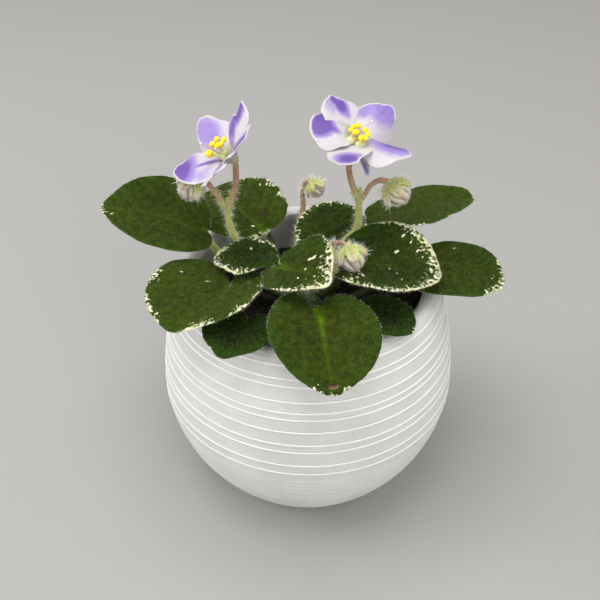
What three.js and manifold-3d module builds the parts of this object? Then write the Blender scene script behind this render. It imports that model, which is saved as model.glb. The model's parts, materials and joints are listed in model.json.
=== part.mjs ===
// A potted African violet: a round white ringed pot filled with soil, a short
// crown, twelve hairy heart-shaped leaves on thick petioles, and four flower
// stalks that carry two open blooms and four buds.
// Millimetres, +Z up. The origin is the middle of the pot's foot.
import * as THREE from "three";
import { mergeVertices } from "three/addons/utils/BufferGeometryUtils.js";
import Module from "manifold-3d";

const wasm = await Module();
wasm.setup();

// ---------------------------------------------------------------- dimensions
const GAP = 0.3; // air between pieces that rest against each other
const DEGREE = Math.PI / 180;

const POT = {
  footRadius: 35,
  footEdge: [0.6, 1.5], // the foot's rounded edge: out and up
  lowHeights: [6, 11, 16, 21], // where the plain wall under the rings bends
  bellyRadius: 55,
  bellyHeight: 44,
  shoulderRadius: 46.8, // radius just under the lip
  lipHeight: 89,
  lipRound: 2.4,
  innerHeight: 80, // the inner wall starts here, under the lip
  wall: 5.3,
  floor: 6,
  floorCorner: 3,
  sides: 24,
};
// Raised rings on the outside: how high each one sits, and how proud it is.
const CRISP_RINGS = [42.3, 46.4, 52.5, 55.7, 61, 66, 68.6, 72.7, 78.2, 80.8, 85.3];
const FAINT_RINGS = [26.4, 29.9, 33, 37.7];
const RING = { halfWidth: 0.55, crispHeight: 0.4, faintHeight: 0.25 };

const SOIL = { height: 69.5, edge: 68, crownSlope: [16, 0.4], sides: 20 };
const INNER_HEIGHTS = [SOIL.edge, 54, 38, 22]; // where the inner wall bends
const CROWN = {
  radius: 6.5,
  stemRadius: 5,
  foot: 58,
  collar: 1.5,
  shoulder: 77,
  lowRing: 3, // the low ring of stems starts this far under the shoulder
  dome: 6,
  sides: 12,
};

// A leaf: where the petiole meets the blade, the way the midrib points
// (azimuth, pitch), the blade's roll about it, its length and width, how much
// its tip droops (arch) and its sides lift (fold), how pointed the tip and how
// deep the notch is, where on the crown its petiole starts, the petiole's
// radius at its foot and under the blade, and how far it sags if that is much.
const LEAF = {
  thickness: 1,
  tooth: 0.012,
  middle: 0.44, // where along the midrib the outline is measured from
  tipSpread: 0.28,
  notchSpread: 0.32,
  crease: 0.2,
};
const PETIOLE = { under: 0.14, depth: 0.55, handle: 0.35, sag: 0.1, taper: 0.6, steps: 7 };
const TEETH = { large: 16, small: 12, smallLength: 27 }; // round teeth on a margin
const LEAVES = [
  { name: "leaf_left_back", base: [-38.2, 13.3, 99.1], azimuth: 187, pitch: 20, roll: -8,
    length: 35.7, width: 40.3, arch: 0.07, fold: 0.17, tip: 0.06, notch: 0.09,
    root: [152, 0], stem: [2.1, 2.5], sag: 0.35 },
  { name: "leaf_back_left", base: [-16.4, 22.1, 93.9], azimuth: 137, pitch: 12, roll: -6,
    length: 35.3, width: 37.3, arch: 0.24, fold: 0.14, tip: 0.02, notch: 0.04,
    root: [128, 35], stem: [1.4, 1.7] },
  { name: "leaf_back_right", base: [24.2, 32, 92.2], azimuth: -7, pitch: 19, roll: -10,
    length: 39.5, width: 41.6, arch: 0.05, fold: 0.08, tip: 0.01, notch: 0.1,
    root: [50, 0], stem: [1.6, 1.9] },
  { name: "leaf_right", base: [37.6, 1.8, 91.4], azimuth: -29, pitch: 9, roll: 1,
    length: 32.3, width: 36.2, arch: 0.08, fold: 0.12, tip: 0.05, notch: 0.1,
    root: [5, 0], stem: [1.6, 1.8] },
  { name: "leaf_back_middle", base: [8.8, 6.1, 91.9], azimuth: 94, pitch: 20, roll: -10,
    length: 25.5, width: 27, arch: 0.05, fold: 0.07, tip: 0.02, notch: 0.1,
    root: [80, 35], stem: [1.2, 1.3] },
  { name: "leaf_inner_left", base: [-12.1, -6.4, 100.3], azimuth: -173, pitch: 4, roll: 3,
    length: 20.3, width: 22.5, arch: 0.11, fold: 0.08, tip: 0.03, notch: 0.09,
    root: [186, 35], stem: [1.1, 1.2] },
  { name: "leaf_inner_front", base: [-9.1, -15.5, 103.5], azimuth: -52, pitch: 16, roll: 19,
    length: 22.5, width: 26, arch: 0.08, fold: 0.31, tip: 0.11, notch: 0.1,
    root: [238, 35], stem: [1.2, 1.4] },
  { name: "leaf_inner_right", base: [11.9, -8, 100], azimuth: -18, pitch: 5, roll: 4,
    length: 32.6, width: 37.5, arch: 0.09, fold: 0.31, tip: 0.05, notch: 0.09,
    root: [330, 35], stem: [1.4, 1.7] },
  { name: "leaf_left_front", base: [-27.3, -9.9, 95.3], azimuth: -118, pitch: 7, roll: 8,
    length: 35.6, width: 39.9, arch: 0.13, fold: 0.21, tip: 0.05, notch: 0.18,
    root: [200, 0], stem: [1.6, 1.9] },
  { name: "leaf_low_left", base: [-18.9, -29.2, 91.8], azimuth: -112, pitch: 3, roll: -1,
    length: 21.6, width: 23.8, arch: 0.06, fold: 0.13, tip: 0.05, notch: 0.09,
    root: [235, 0], stem: [1.4, 1.3] },
  { name: "leaf_front", base: [2.5, -30.3, 98.3], azimuth: -81, pitch: -7, roll: -7,
    length: 35.2, width: 36.2, arch: 0.1, fold: 0.24, tip: 0.05, notch: 0.2,
    root: [272, 0], stem: [1.6, 1.8] },
  { name: "leaf_low_right", base: [17.1, -22.6, 91.1], azimuth: -38, pitch: 2, roll: -5,
    length: 21, width: 22.9, arch: 0.06, fold: 0.07, tip: 0.04, notch: 0.1,
    root: [310, 0], stem: [1.4, 1.3] },
];

// An open bloom: its middle, the way it faces, the spin of its first sepal, and
// its five petals, each turned about the facing axis (spin), raised towards it
// (pitch) and rolled.
const PETAL = { thickness: 0.7, sides: 14, middle: 0.6, tip: 0.05, tipSpread: 0.3 };
const THROAT = { radius: 3, height: 2.2 };
const BLOOMS = [
  { name: "left", middle: [-27.3, 5.3, 133], azimuth: -175, pitch: 45, sepals: 15,
    petals: [
      { spin: 132, pitch: 20, roll: -2, length: 17.2, width: 17.3, arch: 0.01, cup: -0.09 },
      { spin: 46, pitch: 18, roll: -3, length: 18.1, width: 17, arch: 0.06, cup: 0.05 },
      { spin: -23, pitch: 16, roll: 7, length: 18.6, width: 17.2, arch: 0.06, cup: -0.07 },
      { spin: -99, pitch: 18, roll: -7, length: 20.1, width: 16.7, arch: -0.07, cup: -0.12 },
      { spin: 192, pitch: 25, roll: 2, length: 19.7, width: 12.8, arch: -0.08, cup: -0.25 },
    ] },
  { name: "right", middle: [15.2, 10.4, 136.7], azimuth: -87, pitch: 78, sepals: -25,
    petals: [
      { spin: 112, pitch: 21, roll: 25, length: 18.1, width: 16.1, arch: 0.03, cup: -0.07 },
      { spin: 47, pitch: 3, roll: 28, length: 19.2, width: 17, arch: -0.07, cup: -0.5 },
      { spin: -25, pitch: -1, roll: -17, length: 18.9, width: 17.2, arch: 0, cup: -0.4 },
      { spin: -109, pitch: 21, roll: 8, length: 16, width: 16, arch: 0.06, cup: 0.09 },
      { spin: 170, pitch: 19, roll: -12, length: 15.5, width: 17.1, arch: 0.09, cup: -0.17 },
    ] },
];
const ANTHER = { long: 1.5, wide: 1.05, height: 5.6, wave: 0.3, column: 0.8, cap: [1.6, 1.2, 0.8] };
const ANTHERS = [[-1.9, 1.1], [-0.4, 2.2], [1.4, 1.6], [2.2, 0.1], [1, -1.3], [-1, -0.7]];
const STYLE = { radius: 0.35, knob: 0.6, bend: [-0.3, -0.3, 0.4], foot: [-1.7, -2.1, 2], tip: [-2.6, -4.2, 8.6] };
const CALYX = { radius: 1.9, height: 1.15, count: 5, thickness: 0.7 };
const SEPAL = { length: 5.2, width: 2.2, pitch: 2, bend: 0 };
const BRACT = { length: 4.6, width: 1.8, pitch: 52, bend: -0.02 };

// How every flower stalk is made, and each pedicel's radii as shares of its
// stalk's thin end.
const STALK = { lead: 3, knot: 1.15, bractAzimuths: [60, 190], steps: 6 };
const PEDICEL = { bloom: [1, 0.9], bud: [0.85, 0.8], spent: [0.75, 0.6], sink: 0.7 };

// Flower stalks: the points that each stem runs through, from the crown up.
// `bud` is a closed bud, and `spent` a shrivelled one that dried on its stalk.
const STALKS = [
  { name: "left", root: [165, 62], radius: [1.5, 1.3],
    path: [[-15, 4.5, 91], [-23, 6.5, 94], [-26.4, 6, 99], [-28.3, 5, 106], [-28.7, 5, 111.3]],
    bloom: "left", bloomStem: [[-27, 5.6, 116.8], [-26.2, 6.2, 122.5]],
    budStem: [[-32.3, 6.2, 117.2], [-35.2, 8, 121.6], [-37.6, 9, 125]],
    bud: { middle: [-42, 9, 119], axis: [-0.35, -0.1, -1], radius: 4 } },
  { name: "right", root: [15, 62], radius: [1.6, 1.3],
    path: [[8.4, 0.2, 90], [11.4, 2.6, 95.5], [13.3, 5.2, 98.8], [16.9, 6.5, 102.6], [17.5, 7.5, 114]],
    bloom: "right", bloomStem: [[15.2, 9, 119], [13.6, 10.6, 125.5]],
    budStem: [[19.6, 7.3, 118.2], [21.8, 7, 123], [24, 6.7, 125.4]],
    bud: { middle: [30.6, 5.6, 120], axis: [0.6, -0.1, -0.75], radius: 4.5 } },
  { name: "back", root: [100, 62], radius: [1.1, 0.9],
    path: [[-4, 14, 87], [-4, 28, 89.5], [-2.4, 35.6, 94.5], [-2.7, 36, 99.6], [-2.2, 36, 102.6]],
    budStem: [[-1.4, 35.9, 106.8]],
    bud: { middle: [3, 35, 103.6], axis: [0.5, -0.3, -0.8], radius: 3.3 } },
  { name: "front", root: [-50, 62], radius: [1.1, 0.9],
    path: [[4.6, -2.4, 90], [6.6, -1.2, 96], [8, -2.4, 101.6], [9.6, -5.4, 105]],
    budStem: [[11.2, -9.4, 109], [12.6, -13.4, 111.6]],
    bud: { middle: [14.5, -18, 107.8], axis: [0.25, -0.35, -0.85], radius: 4 },
    spentStem: [[9.4, -9.5, 108], [8.8, -14.5, 109.5]],
    spent: { middle: [8.4, -18.2, 105.2], axis: [0, -0.25, -1], radius: 1.7 } },
];
const BUD = { length: 1.12, ridges: 5, ridge: 0.1, twist: 0.9, sides: 15, rows: 8 };
const BUD_SEPAL = { reach: 1.25, width: 0.62, clearance: 0.3 };
const BUD_CUP = { radius: 1.5, squash: 0.75, sink: 0.8, neck: 0.4 };
const SPENT = { length: 1.6, ridge: 0.35, sides: 10, rows: 6 };

// ----------------------------------------------------------------- materials
const finish = (color, roughness) =>
  new THREE.MeshStandardMaterial({ color, roughness, metalness: 0 });
const WHITE_CERAMIC = finish("#eeefee", 0.75);
const DARK_SOIL = finish("#2a2119", 0.95);
const LEAF_GREEN = finish("#3c5523", 0.6);
const STEM_GREEN = finish("#9aa75a", 0.6);
const PETAL_LILAC = finish("#cdbdea", 0.6);
const BUD_CREAM = finish("#dcd6bd", 0.6);
const ANTHER_YELLOW = finish("#f3d90c", 0.5);
const STYLE_PURPLE = finish("#a06ab0", 0.5);

// --------------------------------------------------------------- joining
// A closed geometry as a solid that can be joined, and back again.
function toSolid(geometry) {
  const bare = geometry.clone();
  bare.deleteAttribute("normal");
  bare.deleteAttribute("uv");
  const merged = mergeVertices(bare, 1e-4);
  return new wasm.Manifold(new wasm.Mesh({
    numProp: 3,
    vertProperties: merged.attributes.position.array,
    triVerts: new Uint32Array(merged.index.array),
  }));
}

// Joins closed geometries. The largest body is kept, which fills any small
// hollow that the joining seals and drops any loose scrap.
function fuse(geometries) {
  const joined = geometries.map(toSolid).reduce((whole, piece) => whole.add(piece));
  const bodies = joined.decompose().sort((a, b) => b.volume() - a.volume());
  const mesh = bodies[0].getMesh();
  const geometry = new THREE.BufferGeometry();
  geometry.setAttribute("position", new THREE.BufferAttribute(mesh.vertProperties, 3));
  geometry.setIndex(new THREE.BufferAttribute(mesh.triVerts, 1));
  geometry.computeVertexNormals();
  return geometry;
}

function named(name, geometry, material) {
  const mesh = new THREE.Mesh(geometry, material);
  mesh.name = name;
  return mesh;
}

// The turn that points local X along an azimuth and a pitch, rolled about it.
const turned = (azimuth, pitch, roll) =>
  new THREE.Euler(roll * DEGREE, -pitch * DEGREE, azimuth * DEGREE, "ZYX");

const vector = ([x, y, z]) => new THREE.Vector3(x, y, z);

// --------------------------------------------------------- shared shapes
// A solid of revolution about Z, from [radius, height] points.
function turnedOnWheel(points, sides) {
  const profile = points.map(([radius, height]) => new THREE.Vector2(radius, height));
  return new THREE.LatheGeometry(profile, sides).rotateX(Math.PI / 2);
}

// A thin blade such as a leaf or a petal. A sphere's grid gives its faces: the
// rows from the pole to the equator become rings from its middle to its edge,
// on the upper side and again on the lower side. `outline` gives the distance
// to the edge at an angle from the tip, and `place` sets a point on the curved
// surface, `lift` above its middle layer.
const BLADE_RINGS = [0, 0.55, 0.97, 1];
const SMALL_BLADE_RINGS = [0, 0.94, 1];
const CUPPED_BLADE_RINGS = [0, 0.65, 1];

function blade(sides, thickness, outline, place, rings = BLADE_RINGS) {
  const rows = 2 * (rings.length - 1);
  const geometry = new THREE.SphereGeometry(1, sides, rows);
  const { position, uv } = geometry.attributes;
  for (let i = 0; i < position.count; i++) {
    const angle = uv.getX(i) * 2 * Math.PI;
    const row = Math.round((1 - uv.getY(i)) * rows);
    const reach = rings[Math.min(row, rows - row)] * outline(angle);
    const lift = Math.sign(rows / 2 - row) * thickness / 2;
    const point = place(reach * Math.cos(angle), reach * Math.sin(angle), lift);
    position.setXYZ(i, point.x, point.y, point.z);
  }
  return geometry;
}

// A round stem of changing radius along a curve, with flat ends.
function stem(curve, radii, steps, sides = 6) {
  const geometry = new THREE.CylinderGeometry(1, 1, 1, sides, steps);
  const { position } = geometry.attributes;
  const { normals, binormals } = curve.computeFrenetFrames(steps, false);
  for (let i = 0; i < position.count; i++) {
    const along = position.getY(i) + 0.5;
    const step = Math.round(along * steps);
    const radius = THREE.MathUtils.lerp(radii[0], radii[1], along);
    const point = curve.getPointAt(along)
      .addScaledVector(normals[step], position.getX(i) * radius)
      .addScaledVector(binormals[step], -position.getZ(i) * radius);
    position.setXYZ(i, point.x, point.y, point.z);
  }
  return geometry;
}

const smooth = (points) => new THREE.CatmullRomCurve3(points, false, "centripetal");

function ball(radius, middle, stretch = [1, 1, 1], sides = 8) {
  return new THREE.SphereGeometry(radius, sides, Math.round(sides * 0.6))
    .scale(...stretch)
    .translate(middle.x, middle.y, middle.z);
}

// ------------------------------------------------------------------ pot
// The outer wall swells from the foot to the belly and narrows to the lip.
function wallRadius(height) {
  const below = height < POT.bellyHeight;
  const span = below ? POT.bellyHeight : POT.lipHeight - 1 - POT.bellyHeight;
  const end = below ? POT.footRadius : POT.shoulderRadius;
  const away = Math.abs(height - POT.bellyHeight) / span;
  return POT.bellyRadius - (POT.bellyRadius - end) * away ** (below ? 2 : 1.75);
}

function potProfile() {
  const [footOut, footUp] = POT.footEdge;
  const outside = [[0, 0], [POT.footRadius - footUp, 0], [POT.footRadius + footOut, footUp]];
  for (const height of POT.lowHeights) outside.push([wallRadius(height), height]);
  const rings = [
    ...FAINT_RINGS.map((height) => [height, RING.faintHeight]),
    ...CRISP_RINGS.map((height) => [height, RING.crispHeight]),
  ];
  for (const [height, proud] of rings) {
    outside.push([wallRadius(height - RING.halfWidth), height - RING.halfWidth]);
    outside.push([wallRadius(height) + proud, height]);
    outside.push([wallRadius(height + RING.halfWidth), height + RING.halfWidth]);
  }
  const lip = [];
  const lipMiddle = POT.shoulderRadius - POT.wall / 2;
  for (const angle of [10, 45, 80, 115, 150]) {
    lip.push([
      lipMiddle + (POT.wall / 2) * Math.cos(angle * DEGREE),
      POT.lipHeight - POT.lipRound * (1 - Math.sin(angle * DEGREE)),
    ]);
  }
  const inside = [];
  for (const height of [POT.innerHeight, ...INNER_HEIGHTS]) {
    inside.push([wallRadius(height) - POT.wall, height]);
  }
  inside.push([wallRadius(POT.floor) - POT.wall - POT.floorCorner, POT.floor], [0, POT.floor]);
  return [...outside, ...lip, ...inside];
}

const pot = () => named("pot", turnedOnWheel(potProfile(), POT.sides), WHITE_CERAMIC);

// ----------------------------------------------------------- soil and crown
// Soil fills the pot, with a plain round hole where the crown stands.
function soil() {
  const hole = CROWN.stemRadius + GAP;
  const inside = (height) => wallRadius(height) - POT.wall - 2.5 * GAP;
  const floor = POT.floor + GAP;
  const [slopeWidth, slopeDrop] = SOIL.crownSlope;
  const profile = [[0, floor], [inside(floor) - POT.floorCorner - GAP, floor]];
  for (const height of INNER_HEIGHTS.toReversed()) profile.push([inside(height), height]);
  profile.push([hole + slopeWidth, SOIL.height - slopeDrop], [hole, SOIL.height]);
  profile.push([hole, CROWN.foot - GAP], [0, CROWN.foot - GAP]);
  return named("soil", turnedOnWheel(profile, SOIL.sides), DARK_SOIL);
}

function crown() {
  const { radius, stemRadius, foot, collar, shoulder, dome, sides } = CROWN;
  const neck = SOIL.height + GAP;
  const profile = [[0, foot], [stemRadius, foot], [stemRadius, neck], [radius, neck + collar]];
  for (const angle of [0, 25, 50, 72]) {
    profile.push([
      radius * Math.cos(angle * DEGREE),
      shoulder + dome * Math.sin(angle * DEGREE),
    ]);
  }
  profile.push([0, shoulder + dome]);
  return named("crown", turnedOnWheel(profile, sides), STEM_GREEN);
}

// The spot on the crown where a stem starts: an azimuth, and a rise that is 0
// for the low ring of stems and grows up the dome. It stands GAP off the crown.
function crownSpot([azimuth, rise]) {
  const up = rise * DEGREE;
  const outward = new THREE.Vector3(
    Math.cos(azimuth * DEGREE), Math.sin(azimuth * DEGREE), 0);
  const height = rise ? CROWN.shoulder : CROWN.shoulder - CROWN.lowRing;
  const spot = outward.clone().multiplyScalar(CROWN.radius * Math.cos(up));
  spot.z = height + CROWN.dome * Math.sin(up);
  const normal = outward.multiplyScalar(Math.cos(up) / CROWN.radius);
  normal.z = Math.sin(up) / CROWN.dome;
  normal.normalize();
  return { spot: spot.addScaledVector(normal, GAP), normal };
}

// --------------------------------------------------------------- leaves
const leafTeeth = (leaf) => (leaf.length < TEETH.smallLength ? TEETH.small : TEETH.large);

// Distance from a point on the midrib to the leaf's edge, with the pointed
// tip at angle 0, the notch at the petiole behind, and a toothed margin.
function leafOutline(leaf) {
  const along = (1 - LEAF.middle) * leaf.length;
  return (angle) => {
    const turn = Math.abs(Math.atan2(Math.sin(angle), Math.cos(angle)));
    const oval = 1 / Math.hypot(Math.cos(turn) / along, Math.sin(turn) / (leaf.width / 2));
    const tip = leaf.tip * leaf.length * Math.exp(-((turn / LEAF.tipSpread) ** 2));
    const behind = (Math.PI - turn) / LEAF.notchSpread;
    const notch = leaf.notch * leaf.length * Math.exp(-(behind ** 2));
    return (oval + tip - notch) * (1 + LEAF.tooth * Math.cos(leafTeeth(leaf) * angle));
  };
}

// The leaf's curved middle layer, in its own frame: X along the midrib.
function leafSurface(leaf, along, across, lift) {
  const share = along / leaf.length;
  const side = across / (leaf.width / 2);
  const droop = -leaf.arch * leaf.length * share * Math.abs(share);
  const rise = leaf.fold * (leaf.width / 2) * (Math.hypot(side, LEAF.crease) - LEAF.crease);
  return new THREE.Vector3(along, across, droop + rise + lift);
}

function leafMesh(leaf) {
  const outline = leafOutline(leaf);
  const sheet = blade(2 * leafTeeth(leaf), LEAF.thickness, outline, (u, v, lift) =>
    leafSurface(leaf, LEAF.middle * leaf.length + u, v, lift));
  const mesh = named(leaf.name, sheet, LEAF_GREEN);
  mesh.position.copy(vector(leaf.base));
  mesh.rotation.copy(turned(leaf.azimuth, leaf.pitch, leaf.roll));
  mesh.updateMatrix();
  mesh.geometry = fuse([sheet, petiole(leaf, mesh.matrix.clone().invert())]);
  return mesh;
}

// The petiole leaves the crown square to it and comes in under the midrib.
function petiole(leaf, toLeafFrame) {
  const [foot, top] = leaf.stem;
  const { spot, normal } = crownSpot(leaf.root);
  const start = spot.applyMatrix4(toLeafFrame);
  const direction = normal.transformDirection(toLeafFrame);
  const end = new THREE.Vector3(PETIOLE.under * leaf.length, 0, -PETIOLE.depth * top);
  const reach = start.distanceTo(end);
  const handle = PETIOLE.handle * reach;
  const sag = (leaf.sag ?? PETIOLE.sag) * reach;
  const curve = new THREE.CubicBezierCurve3(
    start,
    start.clone().addScaledVector(direction, handle),
    new THREE.Vector3(end.x - handle, 0, end.z - sag),
    end,
  );
  return stem(curve, [foot, PETIOLE.taper * top], PETIOLE.steps);
}

// --------------------------------------------------------------- blooms
const facing = (bloom) =>
  new THREE.Euler((90 - bloom.pitch) * DEGREE, 0, (bloom.azimuth + 90) * DEGREE, "ZYX");

function petalSolid(petal) {
  const front = (1 - PETAL.middle) * petal.length;
  const back = PETAL.middle * petal.length;
  const outline = (angle) => {
    const turn = Math.abs(Math.atan2(Math.sin(angle), Math.cos(angle)));
    const reach = turn < Math.PI / 2 ? front : back;
    const oval = 1 / Math.hypot(Math.cos(turn) / reach, Math.sin(turn) / (petal.width / 2));
    return oval + PETAL.tip * petal.length * Math.exp(-((turn / PETAL.tipSpread) ** 2));
  };
  const surface = (u, v, lift) => {
    const share = (back + u) / petal.length;
    const side = v / (petal.width / 2);
    const droop = -petal.arch * petal.length * share * Math.abs(share);
    return new THREE.Vector3(back + u, v, droop + petal.cup * (petal.width / 2) * side ** 2 + lift);
  };
  const turn = new THREE.Matrix4().makeRotationFromEuler(
    turned(petal.spin, petal.pitch, petal.roll));
  return blade(PETAL.sides, PETAL.thickness, outline, surface).applyMatrix4(turn);
}

function corolla(bloom) {
  const throat = ball(THROAT.radius, new THREE.Vector3(), [1, 1, THROAT.height / THROAT.radius]);
  return fuse([throat, ...bloom.petals.map(petalSolid)]);
}

// Two pairs of anthers on a short column of filaments.
function anthers() {
  const foot = THROAT.height + GAP;
  const { long, wide, height, wave, column } = ANTHER;
  const post = new THREE.CylinderGeometry(column, column, height - foot, 6)
    .rotateX(Math.PI / 2)
    .translate(0, 0, (height + foot) / 2);
  const cap = ball(wide, new THREE.Vector3(0, 0, height), ANTHER.cap, 5);
  const lobes = ANTHERS.map(([x, y], i) => {
    const middle = new THREE.Vector3(x, y, height + wave * Math.cos(Math.PI * i));
    return ball(wide, middle, [long / wide, 1, 1], 5);
  });
  return fuse([post, cap, ...lobes]);
}

function style() {
  const foot = vector(STYLE.foot);
  const tip = vector(STYLE.tip);
  const bend = foot.clone().lerp(tip, 0.5).add(vector(STYLE.bend));
  const knob = ball(STYLE.knob, tip, [1, 1, 1], 5);
  return fuse([stem(smooth([foot, bend, tip]), [STYLE.radius, STYLE.radius], 3, 5), knob]);
}

function bloomGroup(bloom) {
  const group = new THREE.Group();
  group.position.copy(vector(bloom.middle));
  group.rotation.copy(facing(bloom));
  group.add(
    named(`petals_${bloom.name}`, corolla(bloom), PETAL_LILAC),
    named(`anthers_${bloom.name}`, anthers(), ANTHER_YELLOW),
    named(`style_${bloom.name}`, style(), STYLE_PURPLE),
  );
  group.updateMatrix();
  return group;
}

// A narrow pointed blade that starts at a place, such as a sepal or a bract.
function pointedBlade({ length, width, pitch, bend }, spin, place) {
  const half = length / 2;
  const outline = (angle) =>
    1 / Math.hypot(Math.cos(angle) / half, Math.sin(angle) / (width / 2));
  const surface = (u, v, lift) => new THREE.Vector3(half + u, v, lift + bend * (half + u) ** 2);
  return blade(6, CALYX.thickness, outline, surface, SMALL_BLADE_RINGS)
    .applyMatrix4(new THREE.Matrix4().makeRotationFromEuler(turned(spin, pitch, 0)))
    .translate(place.x, place.y, place.z);
}

// The calyx behind a bloom: a small cup with five narrow sepals that lie along
// the backs of the petals.
const CALYX_DROP = THROAT.height + GAP + CALYX.height;

function calyx(bloom) {
  const middle = new THREE.Vector3(0, 0, -CALYX_DROP);
  const pieces = [ball(CALYX.radius, middle, [1, 1, CALYX.height / CALYX.radius], 6)];
  for (let i = 0; i < CALYX.count; i++) {
    pieces.push(pointedBlade(SEPAL, bloom.sepals + (360 * i) / CALYX.count, middle));
  }
  const toWorld = new THREE.Matrix4().makeRotationFromEuler(facing(bloom));
  toWorld.setPosition(vector(bloom.middle));
  return pieces.map((piece) => piece.applyMatrix4(toWorld));
}

// ----------------------------------------------------------------- buds
// The turn and place of a bud: local Z runs from its pedicel to its tip.
function budFrame(bud) {
  const turn = new THREE.Quaternion().setFromUnitVectors(
    new THREE.Vector3(0, 0, 1), vector(bud.axis).normalize());
  return new THREE.Matrix4().compose(vector(bud.middle), turn, new THREE.Vector3(1, 1, 1));
}

// An egg with five wound furrows.
function furrowedEgg(radius, { length, ridge, sides, rows }) {
  const geometry = new THREE.SphereGeometry(1, sides, rows).rotateX(Math.PI / 2);
  const { position } = geometry.attributes;
  for (let i = 0; i < position.count; i++) {
    const [x, y, z] = [position.getX(i), position.getY(i), position.getZ(i)];
    const wave = Math.cos(BUD.ridges * (Math.atan2(y, x) + BUD.twist * z));
    const reach = radius * (1 - (ridge / 2) * (1 - wave) * Math.hypot(x, y));
    position.setXYZ(i, x * reach, y * reach, z * radius * length);
  }
  return geometry;
}

// The cup that a bud's sepals grow from, and the end of its pedicel there.
function budCup(innerRadius) {
  const middle = new THREE.Vector3(0, 0, -BUD.length * innerRadius - BUD_CUP.sink);
  return {
    cup: ball(BUD_CUP.radius, middle, [1, 1, BUD_CUP.squash], 6),
    neck: middle.clone().setZ(middle.z - BUD_CUP.neck),
  };
}

// A sepal wraps the bud from its pedicel: `down` is how far round it has come.
function budSepal(bud, innerRadius, spin) {
  const half = (BUD_SEPAL.reach * innerRadius) / 2;
  const halfWidth = (BUD_SEPAL.width * bud.radius) / 2;
  const outline = (angle) => 1 / Math.hypot(Math.cos(angle) / half, Math.sin(angle) / halfWidth);
  const surface = (u, v, lift) => {
    const down = (half + u) / innerRadius;
    const out = Math.sin(down) * Math.cos(v / innerRadius);
    const side = -Math.sin(v / innerRadius);
    const radius = innerRadius + CALYX.thickness / 2 + lift;
    return new THREE.Vector3(
      radius * (out * Math.cos(spin) - side * Math.sin(spin)),
      radius * (out * Math.sin(spin) + side * Math.cos(spin)),
      -radius * BUD.length * Math.cos(down) * Math.cos(v / innerRadius),
    );
  };
  return blade(6, CALYX.thickness, outline, surface, CUPPED_BLADE_RINGS);
}

function budCalyx(bud) {
  const innerRadius = bud.radius + GAP + BUD_SEPAL.clearance;
  const { cup, neck } = budCup(innerRadius);
  const pieces = [cup];
  for (let i = 0; i < CALYX.count; i++) {
    pieces.push(budSepal(bud, innerRadius, (2 * Math.PI * i) / CALYX.count));
  }
  const frame = budFrame(bud);
  return { pieces: pieces.map((piece) => piece.applyMatrix4(frame)), neck: neck.applyMatrix4(frame) };
}

// A bud that dried up: a small wrinkled egg, one with its stalk.
function spentBud(bud) {
  const frame = budFrame(bud);
  const egg = furrowedEgg(bud.radius, SPENT).applyMatrix4(frame);
  const neck = new THREE.Vector3(0, 0, BUD_CUP.neck - SPENT.length * bud.radius);
  return { pieces: [egg], neck: neck.applyMatrix4(frame) };
}

// --------------------------------------------------------------- stalks
// A stalk carries a bloom, a bud or both, each on its own pedicel, with two
// little bracts where they part. All of its green is one piece.
function stalkMesh(stalk) {
  const [thick, thin] = stalk.radius;
  const { spot, normal } = crownSpot(stalk.root);
  const lead = spot.clone().addScaledVector(normal, STALK.lead);
  const main = [spot, lead, ...stalk.path.map(vector)];
  const fork = main[main.length - 1];
  const pieces = [
    stem(smooth(main), [thick, thin], 2 * main.length),
    ball(thin * STALK.knot, fork),
  ];
  const pedicel = (through, neck, radii) =>
    stem(smooth([fork, ...through.map(vector), neck]), radii.map((share) => share * thin), STALK.steps);

  const bloom = BLOOMS.find(({ name }) => name === stalk.bloom);
  if (bloom) {
    const neck = new THREE.Vector3(0, 0, -CALYX_DROP - PEDICEL.sink)
      .applyEuler(facing(bloom)).add(vector(bloom.middle));
    pieces.push(pedicel(stalk.bloomStem, neck, PEDICEL.bloom), ...calyx(bloom));
    for (const azimuth of STALK.bractAzimuths) pieces.push(pointedBlade(BRACT, azimuth, fork));
  }
  if (stalk.spent) {
    const { pieces: dried, neck } = spentBud(stalk.spent);
    pieces.push(pedicel(stalk.spentStem, neck, PEDICEL.spent), ...dried);
  }
  const { pieces: sepals, neck } = budCalyx(stalk.bud);
  pieces.push(pedicel(stalk.budStem, neck, PEDICEL.bud), ...sepals);
  return named(`stalk_${stalk.name}`, fuse(pieces), STEM_GREEN);
}

function budMesh({ name, bud }) {
  const mesh = named(`bud_${name}`, furrowedEgg(bud.radius, BUD), BUD_CREAM);
  mesh.applyMatrix4(budFrame(bud));
  return mesh;
}

// ------------------------------------------------------------- the whole
const plant = new THREE.Group();
plant.add(pot(), soil(), crown());
plant.add(...LEAVES.map(leafMesh));
plant.add(...BLOOMS.map(bloomGroup));
plant.add(...STALKS.map(stalkMesh));
plant.add(...STALKS.map(budMesh));

export default plant;
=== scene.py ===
# %% [markdown]
# # A potted African violet
#
# A small African violet grows in a round white pot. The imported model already
# holds every piece at its true place and size: the pot, the soil, the crown,
# twelve leaves, two open blooms, four flower stalks and four buds. This lesson
# dresses those pieces: it makes a finer mesh for each one, in the same place,
# and gives it the surface of the real thing.

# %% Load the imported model
import json
import math

import bpy
import numpy as np
from mathutils import Euler, Matrix, Vector

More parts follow.
